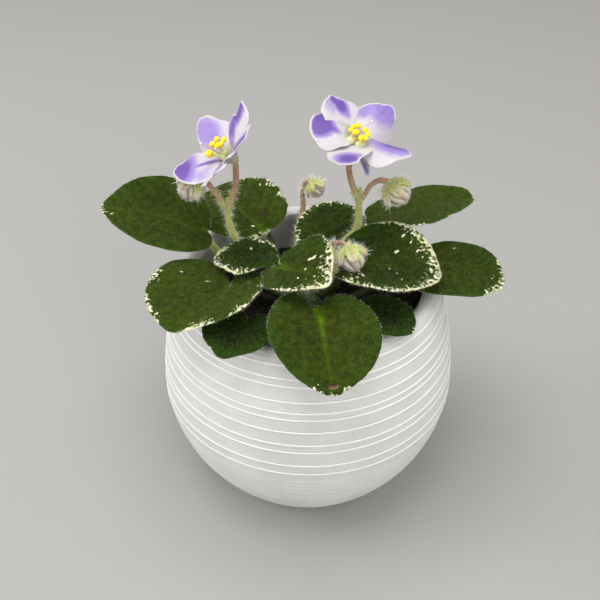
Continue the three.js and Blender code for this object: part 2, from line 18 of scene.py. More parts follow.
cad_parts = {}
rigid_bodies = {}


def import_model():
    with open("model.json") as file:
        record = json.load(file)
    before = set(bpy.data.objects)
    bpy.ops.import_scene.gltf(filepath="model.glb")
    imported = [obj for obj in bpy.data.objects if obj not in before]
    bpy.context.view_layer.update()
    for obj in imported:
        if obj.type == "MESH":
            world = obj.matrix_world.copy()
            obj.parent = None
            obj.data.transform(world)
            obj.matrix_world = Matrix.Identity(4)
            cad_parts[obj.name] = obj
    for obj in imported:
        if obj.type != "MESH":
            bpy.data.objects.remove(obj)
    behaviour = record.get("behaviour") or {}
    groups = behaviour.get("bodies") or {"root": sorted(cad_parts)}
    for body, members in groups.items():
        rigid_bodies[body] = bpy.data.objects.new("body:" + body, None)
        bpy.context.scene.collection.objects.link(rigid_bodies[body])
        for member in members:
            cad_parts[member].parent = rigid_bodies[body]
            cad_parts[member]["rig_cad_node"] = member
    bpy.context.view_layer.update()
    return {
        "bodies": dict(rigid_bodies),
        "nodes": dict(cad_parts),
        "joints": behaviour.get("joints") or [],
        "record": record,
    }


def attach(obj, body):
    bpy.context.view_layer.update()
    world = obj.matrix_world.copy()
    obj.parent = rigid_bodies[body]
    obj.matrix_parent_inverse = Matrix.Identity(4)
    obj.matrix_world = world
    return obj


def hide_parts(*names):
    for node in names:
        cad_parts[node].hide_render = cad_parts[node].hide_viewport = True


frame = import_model()
MM = 0.001
print("packed nodes:", len(frame["nodes"]))

# %% [markdown]
# ## The camera
#
# The picture is taken from a little above a table, about 37 cm away, with a
# slightly long lens. The camera comes first, because everything after it is
# judged through it.

# %% The camera
CAMERA_PLACE = (0, -0.2499, 0.2692)
CAMERA_DOWN = 37.75  # degrees below the horizon
CAMERA_TURN = 0.708  # degrees to the left
CAMERA_ROLL = 0.13
LENS = 51.0


def add_object(name, data):
    thing = bpy.data.objects.new(name, data)
    bpy.context.scene.collection.objects.link(thing)
    return thing


camera = add_object("camera", bpy.data.cameras.new("camera"))
camera.data.lens = LENS
camera.data.sensor_width = 36
camera.data.clip_start = 0.01
camera.matrix_world = (
    Matrix.Translation(CAMERA_PLACE)
    @ Matrix.Rotation(math.radians(CAMERA_TURN), 4, "Z")
    @ Matrix.Rotation(math.radians(90 - CAMERA_DOWN), 4, "X")
    @ Matrix.Rotation(math.radians(CAMERA_ROLL), 4, "Z")
)
bpy.context.scene.camera = camera
print("camera at", CAMERA_PLACE)

# %% [markdown]
# ## Floor and light
#
# The plant stands on a plain pale floor that curves up behind it, under broad
# soft lamps, as in a small studio. One large lamp hangs overhead, so that the
# leaves shade the soil and the inside of the pot. Two weaker ones light the
# front and the left, and a warm white sky fills the rest.

# %% Floor and light
FLOOR_TONE = (0.36, 0.355, 0.345, 1)
bpy.context.scene.view_settings.view_transform = "Standard"


def make_floor():
    """A flat floor that sweeps up into a wall behind the plant."""
    half, back, sweep = 2.5, 1.4, 0.5
    profile = [(-half, 0)]
    for step in range(17):
        turn = math.pi / 2 * step / 16
        profile.append((back + sweep * math.sin(turn), sweep * (1 - math.cos(turn))))
    profile.append((back + sweep, 2.5))
    points = [(x, y, z) for y, z in profile for x in (-half, half)]
    faces = [(2 * i, 2 * i + 1, 2 * i + 3, 2 * i + 2) for i in range(len(profile) - 1)]
    mesh = bpy.data.meshes.new("floor")
    mesh.from_pydata(points, [], faces)
    mesh.shade_smooth()
    paint = bpy.data.materials.new("pale floor")
    paint.use_nodes = True
    shader = paint.node_tree.nodes["Principled BSDF"]
    shader.inputs["Base Color"].default_value = FLOOR_TONE
    shader.inputs["Roughness"].default_value = 0.8
    mesh.materials.append(paint)
    floor = add_object("floor", mesh)


def add_lamp(name, place, aim, size, power):
    lamp = add_object(name, bpy.data.lights.new(name, "AREA"))
    lamp.data.shape = "DISK"
    lamp.data.size = size
    lamp.data.energy = power
    lamp.location = place
    lamp.rotation_euler = (Vector(aim) - Vector(place)).to_track_quat("-Z", "Y").to_euler()


make_floor()
add_lamp("overhead", (-0.1, 0, 1.1), (0, 0, 0.08), 0.8, 7)
add_lamp("front", (0.5, -1.0, 0.75), (0, 0, 0.05), 0.8, 4.5)
add_lamp("left", (-1.0, 0.05, 0.45), (0, 0, 0.08), 0.5, 4)
world = bpy.data.worlds.new("studio")
bpy.context.scene.world = world
world.use_nodes = True
world.node_tree.nodes["Background"].inputs["Color"].default_value = (1, 0.985, 0.96, 1)
world.node_tree.nodes["Background"].inputs["Strength"].default_value = 0.8

# %% [markdown]
# ## One way to make most shapes
#
# Pot, leaf, petal, stem, bud and anther have one thing in common: each is a
# stack of closed rings between two end points. A leaf's rings spread from its
# middle to its edge on the upper side and come back on the lower side, and a
# stem's rings follow a line. So one helper joins rings into a closed skin, and
# every piece only has to say where its rings lie. Sizes are in millimetres
# until the mesh is made, and numbers that belong to a point, such as how red
# it is, are kept with the mesh as attributes for the material to read.

# %% Rings into a closed skin
def loft(rows, first, last):
    """Points and faces of closed rings (rows, sides, 3) between two end points."""
    rows = np.asarray(rows, float)
    count, sides, _ = rows.shape
    points = np.vstack([[first], rows.reshape(-1, 3), [last]])
    column = np.arange(sides)
    after = (column + 1) % sides
    faces = [(0, 1 + a, 1 + b) for a, b in zip(column, after)]
    for row in range(count - 1):
        low, high = 1 + row * sides, 1 + (row + 1) * sides
        faces += list(zip(low + column, high + column, high + after, low + after))
    low, end = 1 + (count - 1) * sides, 1 + count * sides
    faces += [(low + a, end, low + b) for a, b in zip(column, after)]
    return points, faces


def on_points(rows, first=None, last=None):
    """A number for every point of a loft, from its rows and its two ends."""
    rows = np.asarray(rows, float)
    first = rows[0].mean() if first is None else first
    last = rows[-1].mean() if last is None else last
    return np.concatenate([[first], rows.ravel(), [last]])


def both_sides(rows):
    """A number of a thin blade, whose rings go out above and come back below."""
    return on_points(np.concatenate([rows, rows[-2::-1]]))


def lower_side(rows):
    """0 on the upper side of a thin blade and 1 on its lower side."""
    return on_points(np.concatenate([0 * rows, 1 + 0 * rows[:-1]]), 0, 1)


def turned_by(*angles):
    """The matrix of a turn about X, then Y, then Z, in degrees."""
    return np.array(Euler([math.radians(angle) for angle in angles], "XYZ").to_matrix())


def around_axis(sides):
    return np.linspace(0, 2 * math.pi, sides, endpoint=False)


def rings(radius, height, turn):
    """Rings about the upright axis, one for each radius and height."""
    return np.stack([radius * np.cos(turn), radius * np.sin(turn), height + 0 * turn], axis=-1)


def blade_grid(sides, count, crowding):
    """Angles round a blade, and each ring's share of the way from its middle to its edge."""
    angle = np.linspace(-math.pi, math.pi, sides, endpoint=False)
    return angle, np.linspace(0, 1, count + 1)[1:, None] ** crowding


def volume(points, faces):
    fans = [(f[0], f[i], f[i + 1]) for f in faces for i in range(1, len(f) - 1)]
    a, b, c = (points[[t[k] for t in fans]] for k in range(3))
    return float(np.einsum("ij,ij->i", a, np.cross(b, c)).sum() / 6)


def join(parts):
    """Several (points, faces, attributes, material index) as one.

    An attribute is one number for each point, or one for the whole part."""
    total = sum(len(part[0]) for part in parts)
    points, faces, slots, numbers, start = [], [], [], {}, 0
    for part_points, part_faces, attributes, slot in parts:
        if volume(part_points, part_faces) < 0:
            part_faces = [face[::-1] for face in part_faces]
        end = start + len(part_points)
        points.append(part_points)
        faces += [tuple(int(i) + start for i in face) for face in part_faces]
        slots += [slot] * len(part_faces)
        for name, values in attributes.items():
            numbers.setdefault(name, np.zeros(total))[start:end] = values
        start = end
    return np.vstack(points), faces, numbers, slots


def make_piece(name, parts, materials):
    points, faces, numbers, slots = join(parts)
    mesh = bpy.data.meshes.new(name)
    mesh.from_pydata((points * MM).tolist(), [], faces)
    for material in materials:
        mesh.materials.append(material)
    mesh.polygons.foreach_set("material_index", slots)
    mesh.polygons.foreach_set("use_smooth", [True] * len(faces))
    for key, values in numbers.items():
        attribute = mesh.attributes.new(key, "FLOAT", "POINT")
        attribute.data.foreach_set("value", values.astype(np.float32))
    mesh.update()
    return add_object(name, mesh)


def wave(values, seed, octaves=3):
    """A smooth repeating ripple of an angle, between about -1 and 1."""
    rng = np.random.default_rng(seed)
    total = np.zeros_like(values, float)
    for octave in range(octaves):
        times = int(rng.integers(2, 4)) * 2**octave
        total += np.sin(times * values + rng.uniform(0, 2 * math.pi)) / 1.6**octave
    return total / 1.8


print("a loft of 2 rings of 4 has", len(loft(np.zeros((2, 4, 3)), (0, 0, 0), (0, 0, 1))[1]), "faces")

# %% [markdown]
# ## Building materials
#
# A material is a small tree of nodes. These helpers add a node and fill its
# sockets, with plain values or with links, so that each recipe below reads as
# one list. Patterns use the object's own coordinates, in metres, or an
# attribute of its mesh.

# %% Helpers for materials
class Tree:
    """A node tree under construction."""

    def __init__(self, tree):
        self.tree = tree

    def add(self, kind, inputs=None, **settings):
        """A node and its settings; an input is a plain value or another node's socket."""
        node = self.tree.nodes.new(kind)
        for key, value in settings.items():
            setattr(node, key, value)
        for key, value in (inputs or {}).items():
            socket = node.inputs[key]
            if isinstance(value, bpy.types.NodeSocket):
                self.tree.links.new(value, socket)
            else:
                socket.default_value = (*value, 1) if socket.type == "RGBA" else value
        return node

    def maths(self, operation, a, b=0.5):
        return self.add("ShaderNodeMath", {0: a, 1: b}, operation=operation).outputs[0]

    def times(self, a, b):
        return self.maths("MULTIPLY", a, b)

    def vector(self, **parts):
        return self.add("ShaderNodeCombineXYZ", parts).outputs[0]


class Recipe(Tree):
    """A material under construction, around its Principled shader."""

    def __init__(self, name, **settings):
        self.material = bpy.data.materials.new(name)
        self.material.use_nodes = True
        super().__init__(self.material.node_tree)
        self.shader = self.tree.nodes["Principled BSDF"]
        self.place = self.add("ShaderNodeTexCoord").outputs["Object"]
        for socket, value in settings.items():
            self.shader.inputs[socket.replace("_", " ")].default_value = value

    def number(self, attribute):
        return self.add("ShaderNodeAttribute", attribute_name=attribute).outputs["Fac"]

    def noise(self, scale, detail=3.0, roughness=0.55, vector=None):
        inputs = {"Vector": vector or self.place, "Scale": scale, "Detail": detail,
                  "Roughness": roughness}
        return self.add("ShaderNodeTexNoise", inputs).outputs["Fac"]

    def drift(self, *settings):
        """A noise about 0 instead of about a half."""
        return self.maths("SUBTRACT", self.noise(*settings), 0.5)

    def cells(self, scale):
        """How far a point lies from the middle of its cell."""
        inputs = {"Vector": self.place, "Scale": scale}
        return self.add("ShaderNodeTexVoronoi", inputs).outputs["Distance"]

    def between(self, value, low, high, out_low=0.0, out_high=1.0):
        inputs = {"Value": value, "From Min": low, "From Max": high, "To Min": out_low,
                  "To Max": out_high}
        node = self.add("ShaderNodeMapRange", inputs, interpolation_type="SMOOTHSTEP")
        return node.outputs["Result"]

    def mix(self, amount, a, b, blend="MIX"):
        inputs = {0: amount, 6: a, 7: b}
        return self.add("ShaderNodeMix", inputs, data_type="RGBA", blend_type=blend).outputs[2]

    def link(self, socket, name):
        self.tree.links.new(socket, self.shader.inputs[name])

    def colour(self, socket):
        self.link(socket, "Base Color")

    def bump(self, height, distance, strength=1.0):
        """Adds to the bumps that the shader already has; distance is in metres."""
        inputs = {"Height": height, "Distance": distance, "Strength": strength}
        for earlier in self.shader.inputs["Normal"].links:
            inputs["Normal"] = earlier.from_socket
        self.link(self.add("ShaderNodeBump", inputs).outputs["Normal"], "Normal")


print("helpers ready")

# %% [markdown]
# ## The pot
#
# The pot is thrown white ceramic, matt and a little sandy, with thin raised
# rings that catch the light. It is a turned shape, so its outline is worked
# out as a row of points and carried round the axis. The rings are small
# rounded ridges in that outline, not a painted line: at the sides of the pot
# they show in its silhouette.

# %% The pot's outline
FOOT_RADIUS = 35
BELLY_RADIUS, BELLY_HEIGHT = 55, 44
SHOULDER_RADIUS, LIP_HEIGHT = 46.8, 89
WALL, POT_FLOOR = 5.3, 6
RINGED_FROM, RING_PROUD = 24, 0.42
CRISP_RINGS = [42.3, 46.4, 52.5, 55.7, 61, 66, 68.6, 72.7, 78.2, 80.8, 85.3]
FAINT_RINGS = [26.4, 29.9, 33, 35.6, 37.7]


def wall_radius(height):
    """The outside of the pot, without its rings."""
    height = np.asarray(height, float)
    below = height < BELLY_HEIGHT
    span = np.where(below, BELLY_HEIGHT, LIP_HEIGHT - 1 - BELLY_HEIGHT)
    end = np.where(below, FOOT_RADIUS, SHOULDER_RADIUS)
    power = np.where(below, 2, 1.75)
    away = np.abs(height - BELLY_HEIGHT) / span
    return BELLY_RADIUS - (BELLY_RADIUS - end) * away**power


def ring_ridge(height):
    """How far the rings stand out at a height."""
    ridge = np.zeros_like(height)
    for rings, proud, half in ((CRISP_RINGS, RING_PROUD, 0.36), (FAINT_RINGS, 0.16, 0.5)):
        for ring in rings:
            ridge += proud * np.exp(-(((height - ring) / half) ** 4))
    return ridge


def pot_profile():
    low = np.arange(1.5, RINGED_FROM, 1.0)
    fine = np.arange(RINGED_FROM, 87.4, 0.16)
    outside = [(r, z) for r, z in zip(wall_radius(low) + 0.2, low)]
    outside += [(r, z) for r, z in zip(wall_radius(fine) + ring_ridge(fine), fine)]
    foot = [(FOOT_RADIUS * 0.5, 0), (FOOT_RADIUS - 1.6, 0), (FOOT_RADIUS - 0.6, 0.25)]
    middle = SHOULDER_RADIUS - WALL / 2
    turn = np.radians(np.arange(22, 168, 8))
    lip = [(middle + WALL / 2 * math.cos(t), LIP_HEIGHT - 2.4 + 2.4 * math.sin(t)) for t in turn]
    heights = np.concatenate([np.arange(84, 66, -1.5), np.arange(64, 8, -7)])
    inside = [(r, z) for r, z in zip(wall_radius(heights) - WALL, heights)]
    inside += [(wall_radius(POT_FLOOR) - WALL - 3, POT_FLOOR), (12, POT_FLOOR)]
    return np.array(foot + outside + lip + inside)


def ceramic():
    """Matt white slip over a sandy body; the rings are smoother and near white."""
    recipe = Recipe("white ceramic", Roughness=0.62)
    ring = recipe.between(recipe.number("ring"), 0.15, 0.6)
    patchy = recipe.between(recipe.noise(55, 4), 0.3, 0.75)
    body = recipe.mix(patchy, (0.76, 0.76, 0.736), (0.84, 0.84, 0.816))
    specks = recipe.between(recipe.noise(420, 2), 0.735, 0.77)
    body = recipe.mix(recipe.times(specks, 0.5), body, (0.42, 0.36, 0.28))
    recipe.colour(recipe.mix(ring, body, (0.97, 0.97, 0.95)))
    recipe.link(recipe.maths("SUBTRACT", 0.66, recipe.times(ring, 0.25)), "Roughness")
    sand = recipe.maths("SUBTRACT", 1.0, ring)
    recipe.bump(recipe.times(recipe.noise(1100, 4, 0.75), sand), 0.0007)
    recipe.bump(recipe.noise(160, 2), 0.0003)
    return recipe.material


profile = pot_profile()
SIDES_OF_POT = 192
pot_rows = rings(profile[:, :1], profile[:, 1:], around_axis(SIDES_OF_POT))
points, faces = loft(pot_rows, (0, 0, 0), (0, 0, POT_FLOOR))
outer = (profile[:, 0] > wall_radius(profile[:, 1]) - 1) & (profile[:, 1] > RINGED_FROM)
ridge = np.where(outer, ring_ridge(profile[:, 1]) / RING_PROUD, 0)
ridge_rows = np.repeat(ridge[:, None], SIDES_OF_POT, axis=1)
pot = make_piece("pot_body", [(points, faces, {"ring": on_points(ridge_rows)}, 0)], [ceramic()])
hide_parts("pot")
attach(pot, "root")
print("pot faces:", len(pot.data.polygons), "outline points:", len(profile))

# %% [markdown]
# ## Hairs
#
# Almost everything on an African violet is hairy, and from a step away that
# is what makes it look soft. A hair is a thin bent cone with nine faces.
# Geometry Nodes scatter it over a piece: the attribute `hair` says how dense
# the hairs are at each point, and each hair leans a little its own way. The
# result is made a plain mesh, a piece of its own.

# %% A tree that scatters
def scatter_tree(name, sizes, one_copy):
    """Copies of a small shape on a mesh, as dense as the attribute `Where` says."""
    group = bpy.data.node_groups.new(name, "GeometryNodeTree")
    kinds = {"Geometry": "Geometry", "Density": "Float", **dict.fromkeys(sizes, "Float"),
             "Where": "String", "Seed": "Int", "Material": "Material"}
    for label, kind in kinds.items():
        group.interface.new_socket(label, in_out="INPUT", socket_type="NodeSocket" + kind)
    group.interface.new_socket("Geometry", in_out="OUTPUT", socket_type="NodeSocketGeometry")
    tree = Tree(group)
    given = tree.add("NodeGroupInput").outputs
    share = tree.add("GeometryNodeInputNamedAttribute", {"Name": given["Where"]})
    dense = tree.times(given["Density"], share.outputs["Attribute"])
    spots = tree.add("GeometryNodeDistributePointsOnFaces",
                     {"Mesh": given["Geometry"], "Density": dense, "Seed": given["Seed"]})
    shape, turn, size = one_copy(tree, given, spots.outputs["Rotation"])
    copies = tree.add("GeometryNodeInstanceOnPoints",
                      {"Points": spots.outputs["Points"], "Instance": shape, "Rotation": turn,
                       "Scale": size})
    real = tree.add("GeometryNodeRealizeInstances", {0: copies.outputs[0]})
    painted = tree.add("GeometryNodeSetMaterial",
                       {"Geometry": real.outputs[0], "Material": given["Material"]})
    tree.add("NodeGroupOutput", {0: painted.outputs[0]})
    return group


def scatter_over(piece, name, group, slot, **wanted):
    """Runs a scatter tree on a piece, and keeps what it makes as a plain mesh."""
    modifier = piece.modifiers.new(name, "NODES")
    modifier.node_group = group
    for item in group.interface.items_tree:
        if item.in_out == "INPUT" and item.name in wanted:
            modifier[item.identifier] = wanted[item.name]
    ready = bpy.context.evaluated_depsgraph_get()
    mesh = bpy.data.meshes.new_from_object(piece.evaluated_get(ready), depsgraph=ready)
    piece.modifiers.remove(modifier)
    mesh.name = name
    scattered = add_object(name, mesh)
    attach(scattered, "root")
    return scattered


print("scatter helpers ready")


# %% The hairs
HAIR_CURL = 0.25


def one_hair(tree, given, facing):
    """A thin cone that curls over and leans its own way."""
    cone = tree.add("GeometryNodeMeshCone",
                    {"Vertices": 3, "Side Segments": 3, "Radius Top": 0.0, "Depth": given["Length"],
                     "Radius Bottom": given["Thickness"]}, fill_type="NONE")
    spot = tree.add("GeometryNodeInputPosition").outputs[0]
    height = tree.add("ShaderNodeSeparateXYZ", {0: spot}).outputs["Z"]
    curl = tree.maths("DIVIDE", HAIR_CURL, given["Length"])
    aside = tree.times(tree.times(height, height), curl)
    bent = tree.add("GeometryNodeSetPosition",
                    {"Geometry": cone.outputs["Mesh"], "Offset": tree.vector(X=aside)})
    lean, less = given["Lean"], tree.times(given["Lean"], -1.0)
    tilt = tree.add("FunctionNodeRandomValue",
                    {0: tree.vector(X=less, Y=less), 1: tree.vector(X=lean, Y=lean, Z=math.tau),
                     "Seed": 3}, data_type="FLOAT_VECTOR").outputs[0]
    turn = tree.add("FunctionNodeRotateRotation", {"Rotation": facing, "Rotate By": tilt},
                    rotation_space="LOCAL")
    size = tree.add("FunctionNodeRandomValue", {2: 0.5, 3: 1.2, "Seed": 5}, data_type="FLOAT")
    return bent.outputs[0], turn.outputs[0], size.outputs[1]


def hair_material(name, tint):
    recipe = Recipe(name, Roughness=0.35, Specular_IOR_Level=0.6)
    recipe.colour(recipe.mix(recipe.noise(900, 2), tint, tuple(min(1, 1.1 * c) for c in tint)))
    return recipe.material


HAIRS = scatter_tree("Hairs", ["Length", "Thickness", "Lean"], one_hair)
SILVER_HAIR = hair_material("silver hair", (0.84, 0.85, 0.78))
LEAF_HAIR = hair_material("leaf hair", (0.08, 0.1, 0.025))
FRINGE_HAIR = hair_material("fringe hair", (0.6, 0.64, 0.48))


def grow_hairs(piece, name, material, slot, density, length, thickness=0.035, lean=0.5,
               seed=1, where="hair"):
    """Hairs on a piece: density for each square millimetre, sizes in millimetres."""
    return scatter_over(piece, name, HAIRS, slot, Density=density / MM**2, Length=length * MM,
                        Thickness=thickness * MM, Lean=lean, Seed=seed, Material=material,
                        Where=where)


print("hair tree nodes:", len(HAIRS.nodes))

# %% [markdown]
# ## Soil and crown
#
# The pot is filled with a dark, moist mix. Its top is an uneven skin, and over
# it lie loose crumbs, each a lump with twenty faces, scattered by the same kind
# of tree as the hairs. The crown is the short thick stem in the middle that
# every petiole and stalk grows from.

# %% Soil
SOIL_TOP, SOIL_EDGE, SOIL_FOOT = 69.5, 68, 6.6
CROWN_RADIUS, CROWN_FOOT, CROWN_SHOULDER, CROWN_DOME = 6.5, 58.5, 77, 6


def soil_surface():
    turn = around_axis(96)
    share = np.linspace(1, 0.13, 26)[:, None]
    edge = float(wall_radius(SOIL_EDGE)) - WALL - 0.4
    radius = share * edge + 0 * turn
    rough = np.random.default_rng(7).normal(0, 0.35, radius.shape)
    rough[0] = 0
    swell = 0.5 * wave(turn + 0 * share, 3) * share
    height = SOIL_EDGE + (SOIL_TOP - SOIL_EDGE) * (1 - share) + rough + swell
    wall_heights = np.array([SOIL_FOOT, 22, 38, 54, 62])
    wall_edges = wall_radius(wall_heights) - WALL - 0.5
    wall_edges[0] -= 3.4
    low = rings(wall_edges[:, None], wall_heights[:, None], turn)
    rows = np.concatenate([low, rings(radius, height, turn)])
    points, faces = loft(rows, (0, 0, SOIL_FOOT), (0, 0, SOIL_TOP))
    crumbs = on_points(np.concatenate([0 * low[..., 0], 1 + 0 * height]), 0, 0)
    return points, faces, {"crumb": crumbs}, 0


def earth():
    recipe = Recipe("potting mix", Roughness=0.9)
    grain = recipe.noise(700, 5, 0.7)
    dark = recipe.mix(recipe.between(grain, 0.35, 0.7), (0.008, 0.006, 0.005), (0.035, 0.023, 0.015))
    fibre = recipe.between(recipe.noise(260, 3), 0.62, 0.7)
    recipe.colour(recipe.mix(recipe.times(fibre, 0.6), dark, (0.12, 0.075, 0.04)))
    recipe.bump(grain, 0.0006)
    return recipe.material


def one_crumb(tree, given, facing):
    """A lump with twenty faces, stretched and turned its own way."""
    lump = tree.add("GeometryNodeMeshIcoSphere", {"Radius": given["Size"], "Subdivisions": 1})
    turn = tree.add("FunctionNodeRandomValue", {1: (math.tau,) * 3}, data_type="FLOAT_VECTOR")
    size = tree.add("FunctionNodeRandomValue",
                    {0: (0.25, 0.25, 0.2), 1: (1.4, 1.1, 0.9), "Seed": 4},
                    data_type="FLOAT_VECTOR")
    return lump.outputs["Mesh"], turn.outputs[0], size.outputs[0]


EARTH = earth()
soil = make_piece("soil_fill", [soil_surface()], [EARTH])
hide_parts("soil")
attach(soil, "root")
crumbs = scatter_over(soil, "soil_crumbs", scatter_tree("Crumbs", ["Size"], one_crumb), "soil",
                      Density=0.22 / MM**2, Size=MM, Material=EARTH, Where="crumb", Seed=11)
print("soil crumb faces:", len(crumbs.data.polygons))

# %% [markdown]
# ## Stems
#
# Petioles, stalks and pedicels are round and a little uneven. Each is a line
# through a few points, smoothed, with a ring of points set square to it at
# every step. The green of a stem turns red brown towards its end, so every
# point keeps how flushed it is. Petioles and the crown are also painted dark
# green where they lie in the shade of the leaves, as painted shade kept in
# `deep`.

# %% Lines and tubes
def smooth_line(points, steps):
    """Points along a centripetal Catmull-Rom curve, evenly spaced."""
    knots = np.asarray(points, float)
    knots = np.vstack([2 * knots[0] - knots[1], knots, 2 * knots[-1] - knots[-2]])
    line = []
    for p in range(1, len(knots) - 2):
        p0, p1, p2, p3 = knots[p - 1:p + 3]
        t1 = np.linalg.norm(p1 - p0) ** 0.5
        t2 = t1 + np.linalg.norm(p2 - p1) ** 0.5
        t3 = t2 + np.linalg.norm(p3 - p2) ** 0.5
        for t in np.linspace(t1, t2, 20, endpoint=p == len(knots) - 3):
            a1 = p0 + (p1 - p0) * t / t1
            a2 = p1 + (p2 - p1) * (t - t1) / (t2 - t1)
            a3 = p2 + (p3 - p2) * (t - t2) / (t3 - t2)
            b1 = a1 + (a2 - a1) * t / t2
            b2 = a2 + (a3 - a2) * (t - t1) / (t3 - t1)
            line.append(b1 + (b2 - b1) * (t - t1) / (t2 - t1))
    return evenly(np.array(line), steps)


def evenly(line, steps):
    gaps = np.linalg.norm(np.diff(line, axis=0), axis=1)
    length = np.concatenate([[0], np.cumsum(gaps)])
    wanted = np.linspace(0, length[-1], steps + 1)
    return np.stack([np.interp(wanted, length, line[:, k]) for k in range(3)], axis=1)


def bezier(a, b, c, d, steps):
    t = np.linspace(0, 1, 80)[:, None]
    line = (1 - t) ** 3 * a + 3 * (1 - t) ** 2 * t * b + 3 * (1 - t) * t**2 * c + t**3 * d
    return evenly(line, steps)


def tube(line, radii, groove=0.0, seed=0, flush=(0, 0), slot=0, deep=None):
    """A round stem along a line. `groove` dents its upper side. A petiole's foot is
    painted dark green as shade under the leaves, and `deep` says how much of that
    painted shade its far end keeps."""
    along = np.linspace(0, 1, len(line))
    radius = np.interp(along, np.linspace(0, 1, len(radii)), radii)
    forward = np.gradient(line, axis=0)
    forward /= np.linalg.norm(forward, axis=1, keepdims=True)
    up = np.cross(forward[0], (0.31, 0.95, 0.1))
    ups = []
    for direction in forward:
        up = up - direction * up.dot(direction)
        up /= np.linalg.norm(up)
        ups.append(up)
    ups = np.array(ups)
    side = np.cross(forward, ups)
    turn = around_axis(18)
    ring = np.cos(turn)[None, :, None] * ups[:, None] + np.sin(turn)[None, :, None] * side[:, None]
    dent = groove * np.clip(ring[:, :, 2], 0, 1) ** 3
    uneven = 1 + 0.035 * wave(turn[None] + 5 * along[:, None], seed)
    rows = line[:, None] + ring * (radius[:, None] * uneven * (1 - dent))[..., None]
    ends = (line[0] - forward[0] * radii[0] * 0.5, line[-1] + forward[-1] * radii[-1] * 0.5)
    points, faces = loft(rows, *ends)
    # painted shade: a petiole is painted dark green from its foot, and its far end keeps `deep` of it
    shade = 0 * along if deep is None else np.interp(along, (0, 0.55, 0.8), (1, 1, deep))
    numbers = {"flush": on_points(np.interp(along, (0, 1), flush)[:, None] + 0 * turn),
               "hair": 1, "deep": on_points(shade[:, None] + 0 * turn)}
    return points, faces, numbers, slot


def stem_skin():
    """Juicy yellow green, turning red brown where it is flushed, with fine lines, and painted dark
    green as shade where `deep` is high.
    """
    recipe = Recipe("hairy stem", Roughness=0.5, Subsurface_Weight=0.25,
                    Subsurface_Radius=(0.002, 0.003, 0.001), Subsurface_Scale=0.4)
    tone = recipe.noise(160, 3)
    green = recipe.mix(tone, (0.4, 0.45, 0.085), (0.54, 0.55, 0.19))
    red = recipe.mix(tone, (0.36, 0.15, 0.1), (0.5, 0.3, 0.2))
    blotch = recipe.times(recipe.drift(240, 2), 0.7)
    amount = recipe.between(recipe.maths("ADD", recipe.number("flush"), blotch), 0.15, 0.85)
    light = recipe.times(recipe.number("pale"), recipe.between(tone, 0.3, 0.6))
    colour = recipe.mix(light, recipe.mix(amount, green, red), (0.7, 0.64, 0.5))
    # painted shade: where `deep` is high the stem is painted dark green, for the shade under the
    # leaves
    deep = recipe.between(recipe.number("deep"), 0, 1)
    recipe.colour(recipe.mix(deep, colour, (0.035, 0.055, 0.006)))
    recipe.bump(recipe.noise(1400, 3), 0.00012)
    return recipe.material


STEM_SKIN = stem_skin()


def crown_spot(azimuth, rise):
    """Where a stem leaves the crown, and the way out of it there."""
    turn, up = math.radians(azimuth), math.radians(rise)
    outward = np.array([math.cos(turn), math.sin(turn), 0])
    normal = outward * math.cos(up) / CROWN_RADIUS + np.array([0, 0, math.sin(up) / CROWN_DOME])
    normal /= np.linalg.norm(normal)
    spot = outward * CROWN_RADIUS * math.cos(up)
    spot[2] = (CROWN_SHOULDER if rise else CROWN_SHOULDER - 3) + CROWN_DOME * math.sin(up)
    return spot, normal


def crown_part():
    """The knobbly crown, with scars where old leaves grew."""
    turn = around_axis(48)
    outline = [(5, CROWN_FOOT), (5, 66), (5.1, 69), (5.9, 70.6), (6.3, 72.5),
               (CROWN_RADIUS, 75), (CROWN_RADIUS, CROWN_SHOULDER)]
    for step in range(1, 8):
        rise = math.radians(11 * step)
        outline.append((CROWN_RADIUS * math.cos(rise), CROWN_SHOULDER + CROWN_DOME * math.sin(rise)))
    radius, height = np.hsplit(np.array(outline), 2)
    knobs = 1 + 0.045 * wave(turn + 0.25 * height, 5, 4) * (height > 69)
    rows = rings(radius * knobs, height, turn)
    points, faces = loft(rows, (0, 0, CROWN_FOOT - 0.5), (0, 0, CROWN_SHOULDER + CROWN_DOME))
    # the crown's deep 0.9 is painted shade: dark green under the leaves
    return points, faces, {"flush": 0.2, "deep": 0.9, "hair": (points[:, 2] > 71) * 1.0}, 0


crown = make_piece("crown_stem", [crown_part()], [STEM_SKIN])
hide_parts("crown")
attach(crown, "root")
grow_hairs(crown, "crown_hairs", SILVER_HAIR, "stem", density=1.2, length=1.4)
print("crown points:", len(crown.data.vertices))
